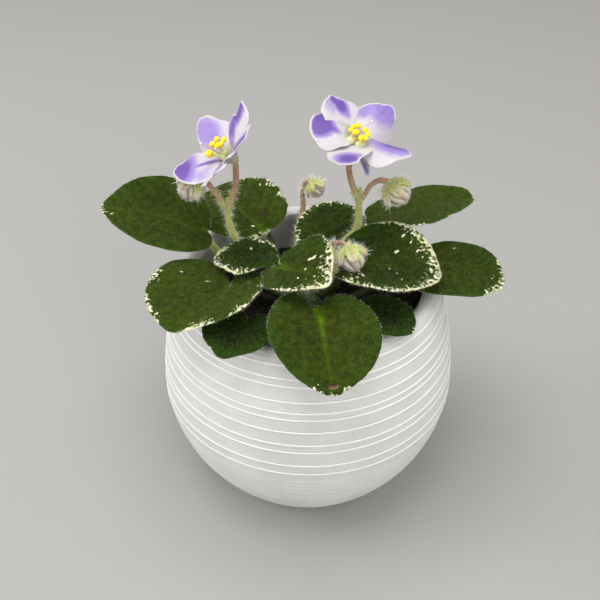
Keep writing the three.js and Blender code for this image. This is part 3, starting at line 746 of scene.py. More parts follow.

# %% [markdown]
# ## Leaves
#
# A leaf is a heart with a toothed edge, folded along its midrib, and its
# surface is quilted: the veins lie in shallow furrows and the green between
# them swells. The blade is measured from a point on the midrib. From there
# its rings spread to the outline on the upper side and come back underneath.
# The vein pattern is a formula in the leaf's own plane: side veins leave the
# midrib at even steps and curve towards the tip, and those of the lowest lobes
# fan out from the petiole. Each leaf has its own edge: a notch where the petiole
# comes in, a few nicks and bulges, and small teeth. Its midrib may bend, and
# the blade folds along it like a shallow valley. Around most leaves the edge
# is flecked with cream; each leaf says where and how deep, and where it has
# loose cream spots and brown scars.

# %% The leaves' sizes
# base, the way the midrib points (azimuth, pitch, roll), length, width, arch,
# fold, tip, crown spot, petiole radii and sag, how much painted shade the
# petiole's far end keeps, how light and olive the blade is (low on the two low
# leaves, as painted shade under the others) and how brightly its midrib shows
LEAVES = {
    "leaf_left_back": ((-38.2, 13.3, 99.1), (187, 20, -8), 35.7, 40.3,
                       0.07, 0.17, 0.06, (152, 0), (2.1, 2.5), 0.3, 0.1, 0.75, 0.35),
    "leaf_back_left": ((-16.4, 22.1, 93.9), (137, 12, -6), 35.3, 37.3,
                       0.24, 0.14, 0.02, (128, 35), (1.4, 1.7), 0.8, 0.9, 0.8, 0.5),
    "leaf_back_right": ((24.2, 32, 92.2), (-7, 19, -10), 39.5, 41.6,
                        0.05, 0.08, 0.01, (50, 0), (1.6, 1.9), 0.3, 0.6, 0.85, 0.1),
    "leaf_right": ((37.6, 1.8, 91.4), (-29, 9, 1), 32.3, 36.2,
                   0.08, 0.12, 0.05, (5, 0), (1.6, 1.8), 0.2, 0.8, 0.7, 0.15),
    "leaf_back_middle": ((8.8, 6.1, 91.9), (94, 20, -10), 25.5, 27,
                         0.05, 0.07, 0.02, (80, 35), (1.2, 1.3), 0.2, 0.8, 0.5, 0.05),
    "leaf_inner_left": ((-12.1, -6.4, 100.3), (-173, 4, 3), 20.3, 22.5,
                        0.11, 0.08, 0.03, (186, 35), (1.1, 1.2), 0.6, 0.9, 0.25, 0.05),
    "leaf_inner_front": ((-9.1, -15.5, 103.5), (-52, 16, 19), 22.5, 26,
                         0.08, 0.31, 0.11, (238, 35), (1.2, 1.4), 0.8, 0.9, 0.6, 0.45),
    "leaf_inner_right": ((11.9, -8, 100), (-18, 5, 4), 32.6, 37.5,
                         0.09, 0.31, 0.05, (330, 35), (1.4, 1.7), 0.6, 0.9, 0.5, 0.1),
    "leaf_left_front": ((-27.3, -9.9, 95.3), (-118, 7, 8), 35.6, 39.9,
                        0.13, 0.21, 0.05, (200, 0), (1.6, 1.9), 0.9, 0.9, 0.8, 0.3),
    "leaf_low_left": ((-18.9, -29.2, 91.8), (-112, 3, -1), 21.6, 23.8,
                      0.06, 0.13, 0.05, (235, 0), (1.4, 1.3), 0.6, 1.0, 0.2, 0.05),
    "leaf_front": ((2.5, -30.3, 98.3), (-81, -7, -7), 35.2, 36.2,
                   0.1, 0.24, 0.05, (272, 0), (1.6, 1.8), 1.2, 1.0, 0.7, 1.1),
    "leaf_low_right": ((17.1, -22.6, 91.1), (-38, 2, -5), 21, 22.9,
                       0.06, 0.07, 0.04, (310, 0), (1.4, 1.3), 0.5, 1.0, 0.05, 0.0),
}
LEAF_KEYS = ("base", "turn", "length", "width", "arch", "fold", "tip", "root", "stem", "sag",
             "deep", "tone", "glow")
LEAVES = {name: dict(zip(LEAF_KEYS, values)) for name, values in LEAVES.items()}
LARGE_LEAF = 27  # mm long; larger ones get a finer mesh
MIDDLE, TIP_SPREAD, BLADE_THICKNESS = 0.44, 0.28, 0.9
QUILTING, VEIN_FURROW, RIB_FURROW, EDGE_RIPPLE = 0.3, 0.16, 0.5, 0.45  # mm
CREASE = 0.14  # how rounded the valley of the fold is, as a share of the half width
print("leaves:", len(LEAVES))

# %% Cream, spots and scars
# Cream along the edge: (angle from the tip, half width, depth in mm) patches.
# Positive angles are on the left of a leaf that points away from the crown.
CREAM = {
    "leaf_left_back": [(4, 9, 1.6)],
    "leaf_back_left": [(-58, 24, 1.7), (-90, 10, 2.3), (-120, 12, 1.9), (165, 14, 2.0)],
    "leaf_back_right": [(-85, 10, 1.2), (-45, 6, 0.8), (150, 8, 1.4), (10, 8, 0.6)],
    "leaf_right": [(4, 18, 2.6), (-18, 10, 1.7), (32, 10, 1.3)],
    "leaf_back_middle": [(10, 60, 1.8), (-70, 30, 1.4), (100, 25, 2.0)],
    "leaf_inner_left": [(-60, 45, 1.9), (15, 60, 2.0), (-130, 30, 2.2), (75, 20, 1.7)],
    "leaf_inner_front": [(42, 26, 3.6), (2, 24, 3.8), (-42, 30, 2.1), (82, 16, 1.1)],
    "leaf_inner_right": [(62, 20, 3.4), (30, 20, 4.2), (-6, 20, 3.8), (-60, 36, 2.4),
                         (-108, 16, 2.4), (98, 20, 1.5)],
    "leaf_left_front": [(-55, 14, 1.9), (-86, 9, 2.9), (-9, 8, 4.2), (4, 8, 2.4), (45, 12, 2.3),
                        (64, 8, 1.4), (92, 12, 1.4), (136, 10, 2.2)],
    "leaf_low_left": [(-20, 8, 0.3)],
    "leaf_front": [(-13, 5, 1.1), (12, 4, 1.3), (0, 4, 1.0)],
    "leaf_low_right": [(10, 16, 0.6)],
}
# Cream spots inside a blade: share of the way to the tip and to the edge, mm
SPOTS = {
    "leaf_left_back": [(0.94, 0.15, 0.8)],
    "leaf_back_left": [(0.51, -0.75, 0.6), (0.46, -0.86, 0.7), (0.08, 0.22, 0.7)],
    "leaf_right": [(0.34, 0.72, 0.7), (0.9, 0.1, 0.5)],
    "leaf_inner_left": [(0.38, -0.33, 0.7), (0.2, 0.3, 0.3)],
    "leaf_inner_front": [(0.57, 0.47, 0.8), (0.5, 0.31, 0.7), (0.67, 0.53, 0.7),
                         (0.55, 0.08, 0.5), (0.79, 0.02, 0.6), (0.64, -0.29, 0.5),
                         (0.72, 0.25, 0.5), (0.8, 0.3, 0.6), (0.75, -0.2, 0.5)],
    "leaf_inner_right": [(0.56, 0.71, 0.7), (0.54, 0.33, 0.9), (0.52, -0.11, 0.6),
                         (0.62, -0.24, 0.5), (0.25, -0.43, 0.9), (0.31, -0.57, 1.1),
                         (0.27, -0.68, 1.0), (0.66, 0.6, 0.6), (0.75, 0.45, 0.5),
                         (0.7, -0.45, 0.6), (0.2, -0.62, 0.9), (0.27, -0.55, 0.8),
                         (0.14, -0.75, 0.7), (0.24, -0.8, 0.9)],
    "leaf_left_front": [(0.3, -0.11, 0.7), (0.32, -0.63, 0.6), (0.2, 0.6, 0.4)],
    "leaf_front": [(0.95, -0.26, 0.5), (0.98, 0.2, 0.5)],
}
# Brown scars: the same numbers
SCARS = {
    "leaf_left_back": [(0.4, 0.72, 0.8), (0.11, 0.4, 0.7)],
    "leaf_back_left": [(0.12, -0.2, 1.6)],
    "leaf_left_front": [(0.54, 0.34, 0.7), (0.3, -0.11, 1.0)],
    "leaf_front": [(0.96, 0.0, 1.3), (0.96, 0.06, 1.2)],
}
print("cream patches:", sum(len(patches) for patches in CREAM.values()))

# %% Edges and midribs
# The notch at the petiole comes first, then nicks and bulges in the edge:
# angle from the tip, half width, depth in mm
NICKS = {
    "leaf_left_back": [(171, 8, 2.0), (-174, 20, 2.4), (140, 18, -1.2), (55, 16, 0.9)],
    "leaf_back_left": [(180, 12, 1.5), (-98, 6, 1.3), (-116, 6, 2.0)],
    "leaf_back_right": [(180, 12, 3.0), (-68, 9, -2.3), (98, 10, 1.2)],
    "leaf_right": [(180, 12, 3.5)],
    "leaf_back_middle": [(180, 12, 2.5), (27, 18, -0.9)],
    "leaf_inner_left": [(180, 12, 1.6), (112, 18, 1.6), (65, 10, -1.2)],
    "leaf_inner_front": [(-172, 10, 4.0), (-153, 12, -3.0), (150, 24, 1.8), (-132, 12, 1.2),
                         (92, 10, -0.9)],
    "leaf_inner_right": [(180, 14, 4.0), (-64, 10, -1.0)],
    "leaf_left_front": [(-149, 9.3, 16.8), (-108, 12, -1.2), (-14, 16, 1.0)],
    "leaf_low_left": [(-176, 12, 5.5), (-135, 20, -2.5)],
    "leaf_front": [(-173, 5, 6.5), (175, 10, 6.0), (-150, 16, -0.8), (148, 14, -0.8)],
    "leaf_low_right": [(180, 12, 2.5)],
}
# How far the outline's middle lies to the left of the axis, mm, and the way of
# the midrib: share of the length, share of the half width
ASIDE = {"leaf_left_front": 9.8}
STRAIGHT = ((0, 0), (1, 0))
CREASES = {
    "leaf_left_front": ((0.2, 0.27), (0.5, 0.26), (0.67, 0.17), (0.88, 0.03), (1, 0)),
    "leaf_inner_front": ((-0.2, -0.35), (0.07, -0.15), (0.28, -0.08), (0.5, 0), (1, 0)),
    "leaf_left_back": ((-0.05, 0.13), (0.16, 0.15), (0.3, 0.06), (0.5, -0.03), (1, 0)),
    "leaf_back_left": ((-0.05, 0.15), (0.25, 0.07), (0.5, 0), (1, 0)),
    "leaf_right": ((0, 0.1), (0.38, 0.25), (0.6, 0.25), (1, 0)),
}
TEETH = {"leaf_back_middle": 0.02, "leaf_inner_left": 0.018, "leaf_inner_front": 0.008,
         "leaf_inner_right": 0.008, "leaf_back_left": 0.01}
for name, leaf in LEAVES.items():
    leaf["teeth"] = TEETH.get(name, 0.004)
    leaf["nicks"] = NICKS[name]
    leaf["aside"] = ASIDE.get(name, 0.0)
    leaf["crease"] = CREASES.get(name, STRAIGHT)
    leaf["cream"] = CREAM[name]
    leaf["spots"], leaf["scars"] = SPOTS.get(name, []), SCARS.get(name, [])
print("nicks and bulges:", sum(len(leaf["nicks"]) for leaf in LEAVES.values()))


# %% The leaf's edge and veins
def off_angle(angle, at):
    """Degrees between an angle in radians and one in degrees, the short way round."""
    return np.degrees(np.angle(np.exp(1j * (angle - math.radians(at)))))


def leaf_reach(leaf, angle):
    """How far the edge lies from the blade's middle, at an angle from the tip."""
    half, aside = leaf["width"] / 2, 2 * leaf["aside"] / leaf["width"]
    x, y = np.cos(angle) / ((1 - MIDDLE) * leaf["length"]), np.sin(angle) / half
    oval = (np.sqrt(x**2 + y**2 - (aside * x) ** 2) - aside * y) / (x**2 + y**2)
    turn = np.angle(np.exp(1j * (angle + aside * 0.6)))
    tip = leaf["tip"] * leaf["length"] * np.exp(-((turn / TIP_SPREAD) ** 2))
    return oval + tip - sum(deep * np.exp(-np.abs(off_angle(angle, at) / wide) ** 1.3)
                            for at, wide, deep in leaf["nicks"])


def leaf_teeth(leaf, angle, seed):
    """Round teeth: the edge swells between sharp little nicks."""
    count = round(leaf["width"] * 0.8)
    phase = count * angle / 2 + 0.6 * wave(angle, seed)
    return leaf["teeth"] * (np.abs(np.sin(phase)) - 0.6) + 0.006 * wave(angle, seed + 1, 4)


def veins(leaf, u, v):
    """The side veins: 0 between them to 1 on one, and how the green there swells."""
    spacing, slope = 0.15 * leaf["length"], 0.55
    bent, side = u - 0.010 * v**2, np.abs(v)
    upper = (bent - slope * side) / spacing
    fan = np.arctan2(side, bent) - math.atan2(1, slope)
    phase = np.where(upper >= 0, upper, -fan / 0.5)
    gap = np.abs(phase - np.round(phase))
    distance = np.where(upper >= 0, gap * spacing / math.hypot(1, slope),
                        gap * 0.5 * np.hypot(side, bent))
    reach = np.clip(side / 3, 0, 1)
    return (np.exp(-((distance / 0.45) ** 2)) * reach,
            (1 - np.cos(2 * math.pi * phase)) / 2 * reach)


def midrib(leaf, u, v):
    """The midrib: wide at the petiole, gone before the tip."""
    start = sinus(leaf)[0]
    along = (u - start) / (leaf["length"] - start)
    half = np.interp(along, (0, 0.3, 1), (1.5, 0.8, 0.4))
    return np.exp(-((v / half) ** 2)) * np.clip(1 - along, 0, 1)


def sinus(leaf):
    """Where the blade meets its petiole, the bottom of the notch."""
    angle = math.radians(leaf["nicks"][0][0])
    reach = leaf_reach(leaf, np.array([angle]))[0] - 1.2
    return (MIDDLE * leaf["length"] + reach * math.cos(angle),
            leaf["aside"] + reach * math.sin(angle))


def crease(leaf, u):
    """How far the midrib lies to one side of the blade's straight axis."""
    shares, sides = zip(*leaf["crease"])
    return np.interp(u / leaf["length"], shares, sides) * leaf["width"] / 2


print("the front leaf is notched to", round(sinus(LEAVES["leaf_front"])[0], 1), "mm along")


# %% The leaf blade
def leaf_form(leaf, u, v):
    """Height of the blade's middle layer over the leaf's own plane."""
    share, side = u / leaf["length"], (v - crease(leaf, u)) / (leaf["width"] / 2)
    droop = -leaf["arch"] * leaf["length"] * share * np.abs(share)
    return droop + leaf["fold"] * (leaf["width"] / 2) * (np.hypot(side, CREASE) - CREASE)


def leaf_frame(leaf):
    azimuth, pitch, roll = leaf["turn"]
    return turned_by(roll, -pitch, azimuth), np.array(leaf["base"], float)


def along_vein(ahead, aside, across):
    """Spots are drawn out along the side veins, 60 degrees off the midrib."""
    aside = aside * np.sign(across)
    with_vein, over_vein = 0.5 * ahead + 0.87 * aside, 0.87 * ahead - 0.5 * aside
    return np.hypot(with_vein / 1.6, over_vein / 0.75)


def all_round(ahead, aside, _):
    """Scars are round."""
    return np.hypot(ahead, aside)


def marks(leaf, listed, u, v, distance):
    """1 in the middle of each listed mark, 0 at its size and down to -1 far off."""
    inside = -1 + 0 * u
    for along, across, size in listed:
        ahead, aside = u - along * leaf["length"], v - across * leaf["width"] / 2
        inside = np.maximum(inside, 1 - distance(ahead, aside, across) / size)
    return inside


def blade_part(leaf, seed):
    sides, count = (160, 34) if leaf["length"] > LARGE_LEAF else (112, 26)
    angle, share = blade_grid(sides, count, 0.85)
    edge = leaf_reach(leaf, angle)
    teeth = leaf["length"] * leaf_teeth(leaf, angle, seed) * np.clip((share - 0.8) / 0.2, 0, 1)
    reach = share * edge + teeth
    u = MIDDLE * leaf["length"] + reach * np.cos(angle)
    v = leaf["aside"] + reach * np.sin(angle)
    off_rib = v - crease(leaf, u)
    vein, swell = veins(leaf, u, off_rib)
    rib = midrib(leaf, u, off_rib)
    inland = np.clip((1 - share) / 0.12, 0, 1)
    form = leaf_form(leaf, u, v) + EDGE_RIPPLE * wave(angle, seed + 2) * share**4
    relief = (QUILTING * swell - VEIN_FURROW * vein - RIB_FURROW * rib) * inland
    half = BLADE_THICKNESS / 2 * np.sqrt(np.clip(1 - share**14, 0, 1))
    upper = form + half + relief
    under = form - half + 0.7 * relief - 0.8 * rib * inland
    turn, base = leaf_frame(leaf)
    top, low = (np.stack([u, v, side], axis=2) @ turn.T + base for side in (upper, under))
    middle = np.array([MIDDLE * leaf["length"], leaf["aside"], 0])
    heights = [0.5 * (side[0].min() + side[0].max()) for side in (upper, under)]
    ends = [turn @ (middle + (0, 0, height)) + base for height in heights]
    points, faces = loft(np.concatenate([top, low[-2::-1]]), *ends)
    inward = both_sides(edge + teeth - reach)
    cream = sum((depth * np.exp(-((off_angle(angle, at) / wide) ** 4))
                 for at, wide, depth in leaf["cream"]), 0 * angle)
    around = np.cumsum(np.hypot(*np.gradient(np.stack([u[-1], v[-1]]), axis=1)))
    numbers = {
        "vein": both_sides(vein), "midrib": both_sides(rib * leaf["glow"]),
        "inward": inward, "cream": both_sides(cream + 0 * u),
        "spot": both_sides(marks(leaf, leaf["spots"], u, v, along_vein)),
        "scar": both_sides(marks(leaf, leaf["scars"], u, v, all_round)),
        "under": lower_side(u), "around": both_sides(around + 0 * u), "tone": leaf["tone"],
        "hair": on_points(np.concatenate([1 - 0.6 * vein, 0.3 + 0 * u[:-1]])),
        "fringe": (inward < 0.3) * 1.0,
    }
    return points, faces, numbers, 0


print("blade of the front leaf:", len(blade_part(LEAVES["leaf_front"], 1)[0]), "points")

# %% [markdown]
# The leaf's colour is mixed in layers: a dark green that drifts to olive,
# painted darker on the low leaves as the shade of those above them, a clearer
# green painted along the edge where the velvet's sheen greys the middle,
# mottled finely, light along the midrib near the petiole, the cream flecks at
# the edge, the spots and scars, and a pale underside. The fine down is a noise
# of grey green; the longer hairs are real ones. The flecks compare two numbers
# of each point, how far inside the edge it lies and how deep the cream may go
# there, with a noise that runs along the edge.

# %% The leaf's colours
def leaf_skin():
    recipe = Recipe("velvet leaf", Roughness=0.7, Sheen_Weight=0.03, Sheen_Roughness=0.5,
                    Sheen_Tint=(0.8, 0.85, 0.6, 1), Subsurface_Weight=0.04,
                    Subsurface_Radius=(0.001, 0.002, 0.0005), Subsurface_Scale=0.5,
                    Specular_IOR_Level=0.08)
    inward, drift = recipe.number("inward"), recipe.drift(70)
    # each leaf's tone sets how light and olive it is; the low tones of the leaves under the others
    # are painted shade
    tone = recipe.maths("ADD", recipe.number("tone"), recipe.times(drift, 1.2))
    green = recipe.mix(recipe.between(tone, 0, 1), (0.0025, 0.012, 0.0004), (0.029, 0.045, 0.001))
    down = recipe.between(recipe.noise(1500, 3, 0.75), 0.46, 0.72)
    for amount, strength, tint in (
        # painted sheen: the edge is painted a clearer green, so the middle looks greyed as by the
        # velvet's sheen
        (recipe.between(inward, 7, 0), 0.5, (0.018, 0.062, 0.001)),
        (recipe.number("vein"), 0.3, (0.006, 0.018, 0.002)),
        (down, 0.45, (0.085, 0.098, 0.014)),
        (recipe.number("midrib"), 0.9, (0.075, 0.15, 0.002)),
    ):
        green = recipe.mix(recipe.times(amount, strength), green, tint)
    patchy = recipe.between(recipe.noise(480, 4, 0.7), 0.3, 0.7, 0.65, 1.4)
    patchy = recipe.add("ShaderNodeCombineColor", {0: patchy, 1: patchy, 2: patchy}).outputs[0]
    green = recipe.mix(1.0, green, patchy, "MULTIPLY")
    depth = recipe.maths("MAXIMUM", recipe.number("cream"), 0.02)
    flow = recipe.vector(X=recipe.number("around"), Y=recipe.times(inward, 0.85))
    over = recipe.times(recipe.drift(0.8, 4, 0.65, flow), 8.5)
    fade = recipe.times(recipe.maths("DIVIDE", inward, depth), 1.15)
    over = recipe.maths("SUBTRACT", over, recipe.maths("SUBTRACT", fade, 0.45))
    hem = recipe.times(recipe.between(inward, 0.55, 0.3), recipe.between(depth, 2.3, 3.2))
    fleck = recipe.maths("MAXIMUM", recipe.between(over, -0.05, 0.15), hem)
    island = recipe.times(recipe.drift(900, 2), 2.2)
    spot = recipe.maths("ADD", recipe.number("spot"), island)
    fleck = recipe.maths("MAXIMUM", fleck, recipe.between(spot, 0.25, 0.4))
    stain = recipe.between(recipe.noise(300, 2), 0.35, 0.7)
    cream = recipe.mix(stain, (0.6, 0.62, 0.34), (0.8, 0.74, 0.6))
    upper = recipe.mix(fleck, green, cream)
    scar = recipe.between(recipe.maths("ADD", recipe.number("scar"), island), 0.1, 0.5)
    brown = recipe.mix(recipe.between(inward, 1, 4), (0.45, 0.25, 0.17), (0.03, 0.022, 0.01))
    brown = recipe.mix(recipe.between(spot, 0.2, 0.3), brown, cream)
    upper = recipe.mix(scar, upper, brown)
    pale = recipe.mix(recipe.between(drift, -0.3, 0.3), (0.04, 0.06, 0.015), (0.08, 0.11, 0.03))
    recipe.colour(recipe.mix(recipe.number("under"), upper, pale))
    recipe.bump(recipe.noise(1500), 0.0002)
    recipe.bump(recipe.cells(520), 0.00025, 0.7)
    return recipe.material


LEAF_SKIN = leaf_skin()
print("leaf colour nodes:", len(LEAF_SKIN.node_tree.nodes))


# %% Petioles, and the leaves
def petiole_part(leaf, seed):
    turn, base = leaf_frame(leaf)
    foot, top = leaf["stem"]
    spot, normal = crown_spot(*leaf["root"])
    start, direction = turn.T @ (spot - base), turn.T @ normal
    end = np.array([*sinus(leaf), -0.62 * top])
    reach = np.linalg.norm(start - end)
    handle = 0.3 * reach
    line = bezier(start, start + direction * handle,
                  end - (handle, 0, leaf["sag"] * reach), end, 44)
    line = np.vstack([line, line[-1] + np.array([[2.5, 0, 0.1 * top], [6, 0, 0.3 * top]])])
    line = line @ turn.T + base
    radii = [foot * 1.15, foot, foot, 0.5 * (foot + top), top * 0.8, top * 0.62, top * 0.2]
    return tube(line, radii, groove=0.22, seed=seed, flush=(0.2, 0), slot=1, deep=leaf["deep"])


leaf_faces = 0
for seed, (name, leaf) in enumerate(LEAVES.items(), 10):
    parts = [blade_part(leaf, seed), petiole_part(leaf, seed)]
    piece = make_piece(name + "_blade", parts, [LEAF_SKIN, STEM_SKIN])
    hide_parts(name)
    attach(piece, "root")
    grow_hairs(piece, name + "_hairs", LEAF_HAIR, "leaf", density=1.7, length=1.1,
               thickness=0.045, lean=0.9, seed=seed)
    grow_hairs(piece, name + "_fringe", FRINGE_HAIR, "leaf", density=9, length=0.8,
               thickness=0.03, lean=0.6, seed=seed, where="fringe")
    leaf_faces += len(piece.data.polygons)
print("leaf faces:", leaf_faces)

# %% [markdown]
# ## Petals
#
# Five petals grow together at the throat of each bloom. They are thin, white,
# and blotched with violet away from the throat and the rim, each in its own
# way, so every petal carries the middle and the size of its blotches. The right
# bloom has a sixth, narrow piece: a lobe folded on itself that hangs below it.
# Seen close they glisten, because the cells of a violet's petal are tiny domes.

# %% The blooms' sizes
# Each petal: spin about the bloom's axis, pitch, roll, length, width, arch, cup.
# Its outline is a list of (angle, reach in mm) about a point 0.6 of its length
# along it, angle 0 being its tip, and its violet is a list of patches: (along,
# across, half length, half width, strength) in shares of its length and width.
BLOOMS = {
    "left": {"middle": (-27.3, 5.3, 133), "facing": (-175, 45), "sepals": 15,
             "throat": (0.3, 0.2)},
    "right": {"middle": (15.2, 10.4, 136.7), "facing": (-87, 78), "sepals": -25,
              "throat": (1.0, 0.8)},
}
PETALS = {
    "left": {
        "sickle": ((132, 20, -2, 17.2, 17.3, 0.01, -0.09),
                   [(-120, 7), (-94, 8.4), (-85, 8.6), (-70, 8.2), (-49, 7.5), (-24, 7.7),
                    (-8, 8.7), (1, 6.4), (5, 4.8), (24, 4.5), (53, 5.6), (66, 8), (90, 8.4),
                    (120, 7)],
                   [(0.88, -0.02, 0.34, 0.5, 1.25), (0.58, 0.2, 0.36, 0.42, 1.05)]),
        "right": ((46, 18, -3, 18.1, 17, 0.06, 0.05),
                  [(-120, 8), (-80, 8), (-48, 7.6), (-29, 8.6), (-13, 8.6), (10, 7), (30, 6.5),
                   (60, 8), (120, 8)],
                  [(0.78, -0.08, 0.42, 0.52, 1.15), (0.45, 0.1, 0.3, 0.3, 0.9)]),
        "under": ((-23, 16, 7, 18.6, 17.2, 0.06, -0.07),
                  [(-120, 8), (-80, 8), (-40, 6), (0, 5), (40, 6), (80, 8), (120, 8)],
                  [(0.5, 0.38, 0.26, 0.3, 1.0)]),
        # its third patch is painted shade: pale lilac where its lower half folds down out of the
        # light
        "front": ((-99, 18, -7, 20.1, 16.7, -0.07, -0.12),
                  [(-120, 7.6), (-101, 7.2), (-80, 8.8), (-66, 8.8), (-52, 7.9), (-34, 7.1),
                   (-24, 8.2), (-6, 9.3), (13, 8.4), (45, 7.6), (86, 8), (110, 8)],
                  [(0.95, 0.0, 0.34, 1.1, 1.25), (0.4, 0.02, 0.34, 0.13, 0.95),
                   (0.5, 0.6, 0.25, 0.5, 0.5)]),
        "broad": ((192, 25, 2, 19.7, 12.8, -0.08, -0.25),
                  [(-120, 8), (-79, 6.7), (-58, 6.2), (-41, 6.9), (-26, 8), (-14, 8.5),
                   (-1, 9.1), (11, 8.2), (25, 7.7), (44, 6.8), (68, 6), (86, 6.4), (120, 7.6)],
                  [(0.74, 0.1, 0.5, 0.95, 0.75), (0.7, -0.45, 0.25, 0.25, 0.5)]),
    },
    "right": {
        "peaked": ((112, 21, 15, 18.1, 16.1, 0.03, -0.07),
                   [(-110, 7.6), (-72, 8.1), (-61, 7.7), (-42, 6.5), (-20, 6), (-5, 6.3),
                    (4, 8.4), (14, 7.6), (31, 7.4), (62, 7.4), (78, 7.9), (108, 7)],
                   [(0.93, 0.04, 0.24, 0.3, 1.2), (0.78, -0.1, 0.28, 0.36, 1.2),
                    (0.6, -0.2, 0.2, 0.2, 0.8), (0.78, 0.45, 0.32, 0.4, 0.5)]),
        "broad": ((47, 3, 28, 19.2, 17, -0.07, -0.5),
                  [(-110, 8.3), (-87, 8.8), (-71, 7.8), (-52, 7.2), (-22, 7.9), (-5, 8.7),
                   (3, 8.9), (10, 8.2), (22, 7.5), (46, 7.5), (64, 7.9), (90, 8.1), (110, 8)],
                  [(0.92, 0.15, 0.42, 0.95, 0.85), (0.66, 0.6, 0.3, 0.35, 0.75)]),
        "tongue": ((-25, -1, -17, 18.9, 17.2, 0, -0.4),
                   [(-131, 8.6), (-104, 9.4), (-93, 9.3), (-78, 8.7), (-61, 8), (-38, 7.6),
                    (-15, 8.1), (-5, 9.4), (8, 8.2), (33, 8), (60, 7.5), (120, 7)],
                   [(0.68, 0.5, 0.5, 0.95, 1.0), (0.6, 0.8, 0.4, 0.3, 1.2)]),
        "front": ((-109, 21, 8, 16, 16, 0.06, 0.09),
                  [(-110, 7.6), (-70, 7), (-32, 8.8), (-14, 9), (6, 9.2), (17, 9), (30, 8),
                   (50, 6.6), (110, 7)],
                  [(0.88, 0.12, 0.3, 0.6, 1.15)]),
        "left": ((170, 19, -5, 15.5, 17.1, 0.09, -0.17),
                 [(-110, 7.8), (-67, 7.8), (-34, 6.9), (-16, 6.7), (11, 6.6), (39, 6.9), (64, 8.1),
                  (81, 9.2), (96, 9.8), (110, 9.2), (139, 7.6)],
                 [(0.86, 0.0, 0.36, 0.62, 1.8), (0.64, 0.05, 0.3, 0.28, 1.1)]),
        "fold": ((-68, -36, 0, 13.6, 2.8, 0.0, 0.9),
                 [(-120, 1.4), (-60, 1.4), (-26, 2.6), (-12, 4.6), (0, 5.6), (12, 4.6), (26, 2.6),
                  (60, 1.4), (120, 1.4)],
                 [(0.85, 0.0, 0.25, 0.5, 0.8)]),
    },
}
PETAL_MIDDLE, PETAL_THICKNESS = 0.6, 0.45
# How much higher or lower than its own plane a petal's free part lies, and how
# far below the bloom's middle its calyx sits, mm
LIFTED = {"left": {}, "right": {"left": 1.4, "front": -2.3}}
CALYX_DROP = 2.4
print("petals:", sum(len(petals) for petals in PETALS.values()))


# %% The petals
def bloom_frame(name):
    azimuth, pitch = BLOOMS[name]["facing"]
    return turned_by(90 - pitch, 0, azimuth + 90), np.array(BLOOMS[name]["middle"], float)


def petal_reach(outline, length, width, angle):
    """The outline, smoothly through its listed points, and oval near the throat."""
    along = np.where(np.abs(angle) < math.pi / 2, 1 - PETAL_MIDDLE, PETAL_MIDDLE) * length
    oval = 1 / np.hypot(np.cos(angle) / along, np.sin(angle) / (width / 2))
    at, reach = np.radians([p[0] for p in outline]), np.array([p[1] for p in outline], float)
    listed = np.interp(angle, at, reach)
    for _ in range(2):
        listed = (np.roll(listed, 1) + 2 * listed + np.roll(listed, -1)) / 4
    share = np.clip((angle - at[0]) / 0.4, 0, 1) * np.clip((at[-1] - angle) / 0.4, 0, 1)
    return oval + (listed - oval) * share


def petal_part(petal, throat, lifted, seed):
    (spin, pitch, roll, length, width, arch, cup), outline, patches = petal
    angle, share = blade_grid(128, 40, 0.8)
    outer = np.exp(-((np.abs(angle) / 1.9) ** 4))
    edge = petal_reach(outline, length, width, angle)
    u = PETAL_MIDDLE * length + share * edge * np.cos(angle)
    v = share * edge * np.sin(angle)
    along, across = u / length, v / (width / 2)
    form = -arch * length * along * np.abs(along) + cup * (width / 2) * across**2
    frill = 0.5 * wave(angle * 2, seed + 1) * share**5 * outer
    furrow = -0.2 * np.exp(-((v / 0.9) ** 2)) * np.clip(1 - along, 0, 1)
    lines = 0.04 * np.cos(20 * np.arctan2(v, u + 2)) * np.clip(1 - share, 0, 1)
    form = form + frill + furrow + lines
    half = PETAL_THICKNESS / 2 * np.sqrt(np.clip(1 - share**10, 0, 1))
    rotation = turned_by(roll, -pitch, spin)

    def placed(lift):
        """The free part keeps its own height, and the rest sinks into the throat."""
        at = np.stack([u, v, form + lift], axis=2) @ rotation.T
        away = np.hypot(at[..., 0] - throat[0], at[..., 1] - throat[1])
        free = np.clip((away - 2) / 6, 0, 1)
        at[..., 2] = at[..., 2] * free**0.5 + lifted * free
        at[..., 2] -= 1.7 * np.clip((5.0 - away) / 2.6, 0, 1) ** 1.5
        return at

    top, low = placed(half), placed(-half)[-2::-1]
    points, faces = loft(np.concatenate([top, low]), top[0].mean(axis=0), low[-1].mean(axis=0))
    violet = 0 * u
    for at, side, long, wide, strength in patches:
        far = np.hypot((along - at) / long, (across - side) / wide)
        violet = np.maximum(violet, strength * np.clip(1.35 - far, 0, 1) ** 0.8)
    numbers = {"violet": both_sides(violet), "rim": both_sides((1 - share) * edge),
               "throat": np.hypot(points[:, 0] - throat[0], points[:, 1] - throat[1]),
               "veins": both_sides(np.arctan2(v, u + 3)), "back": lower_side(u)}
    return points, faces, numbers, 0


print("points of one petal:", len(petal_part(PETALS["left"]["right"], (0, 0), 0.0, 1)[0]))


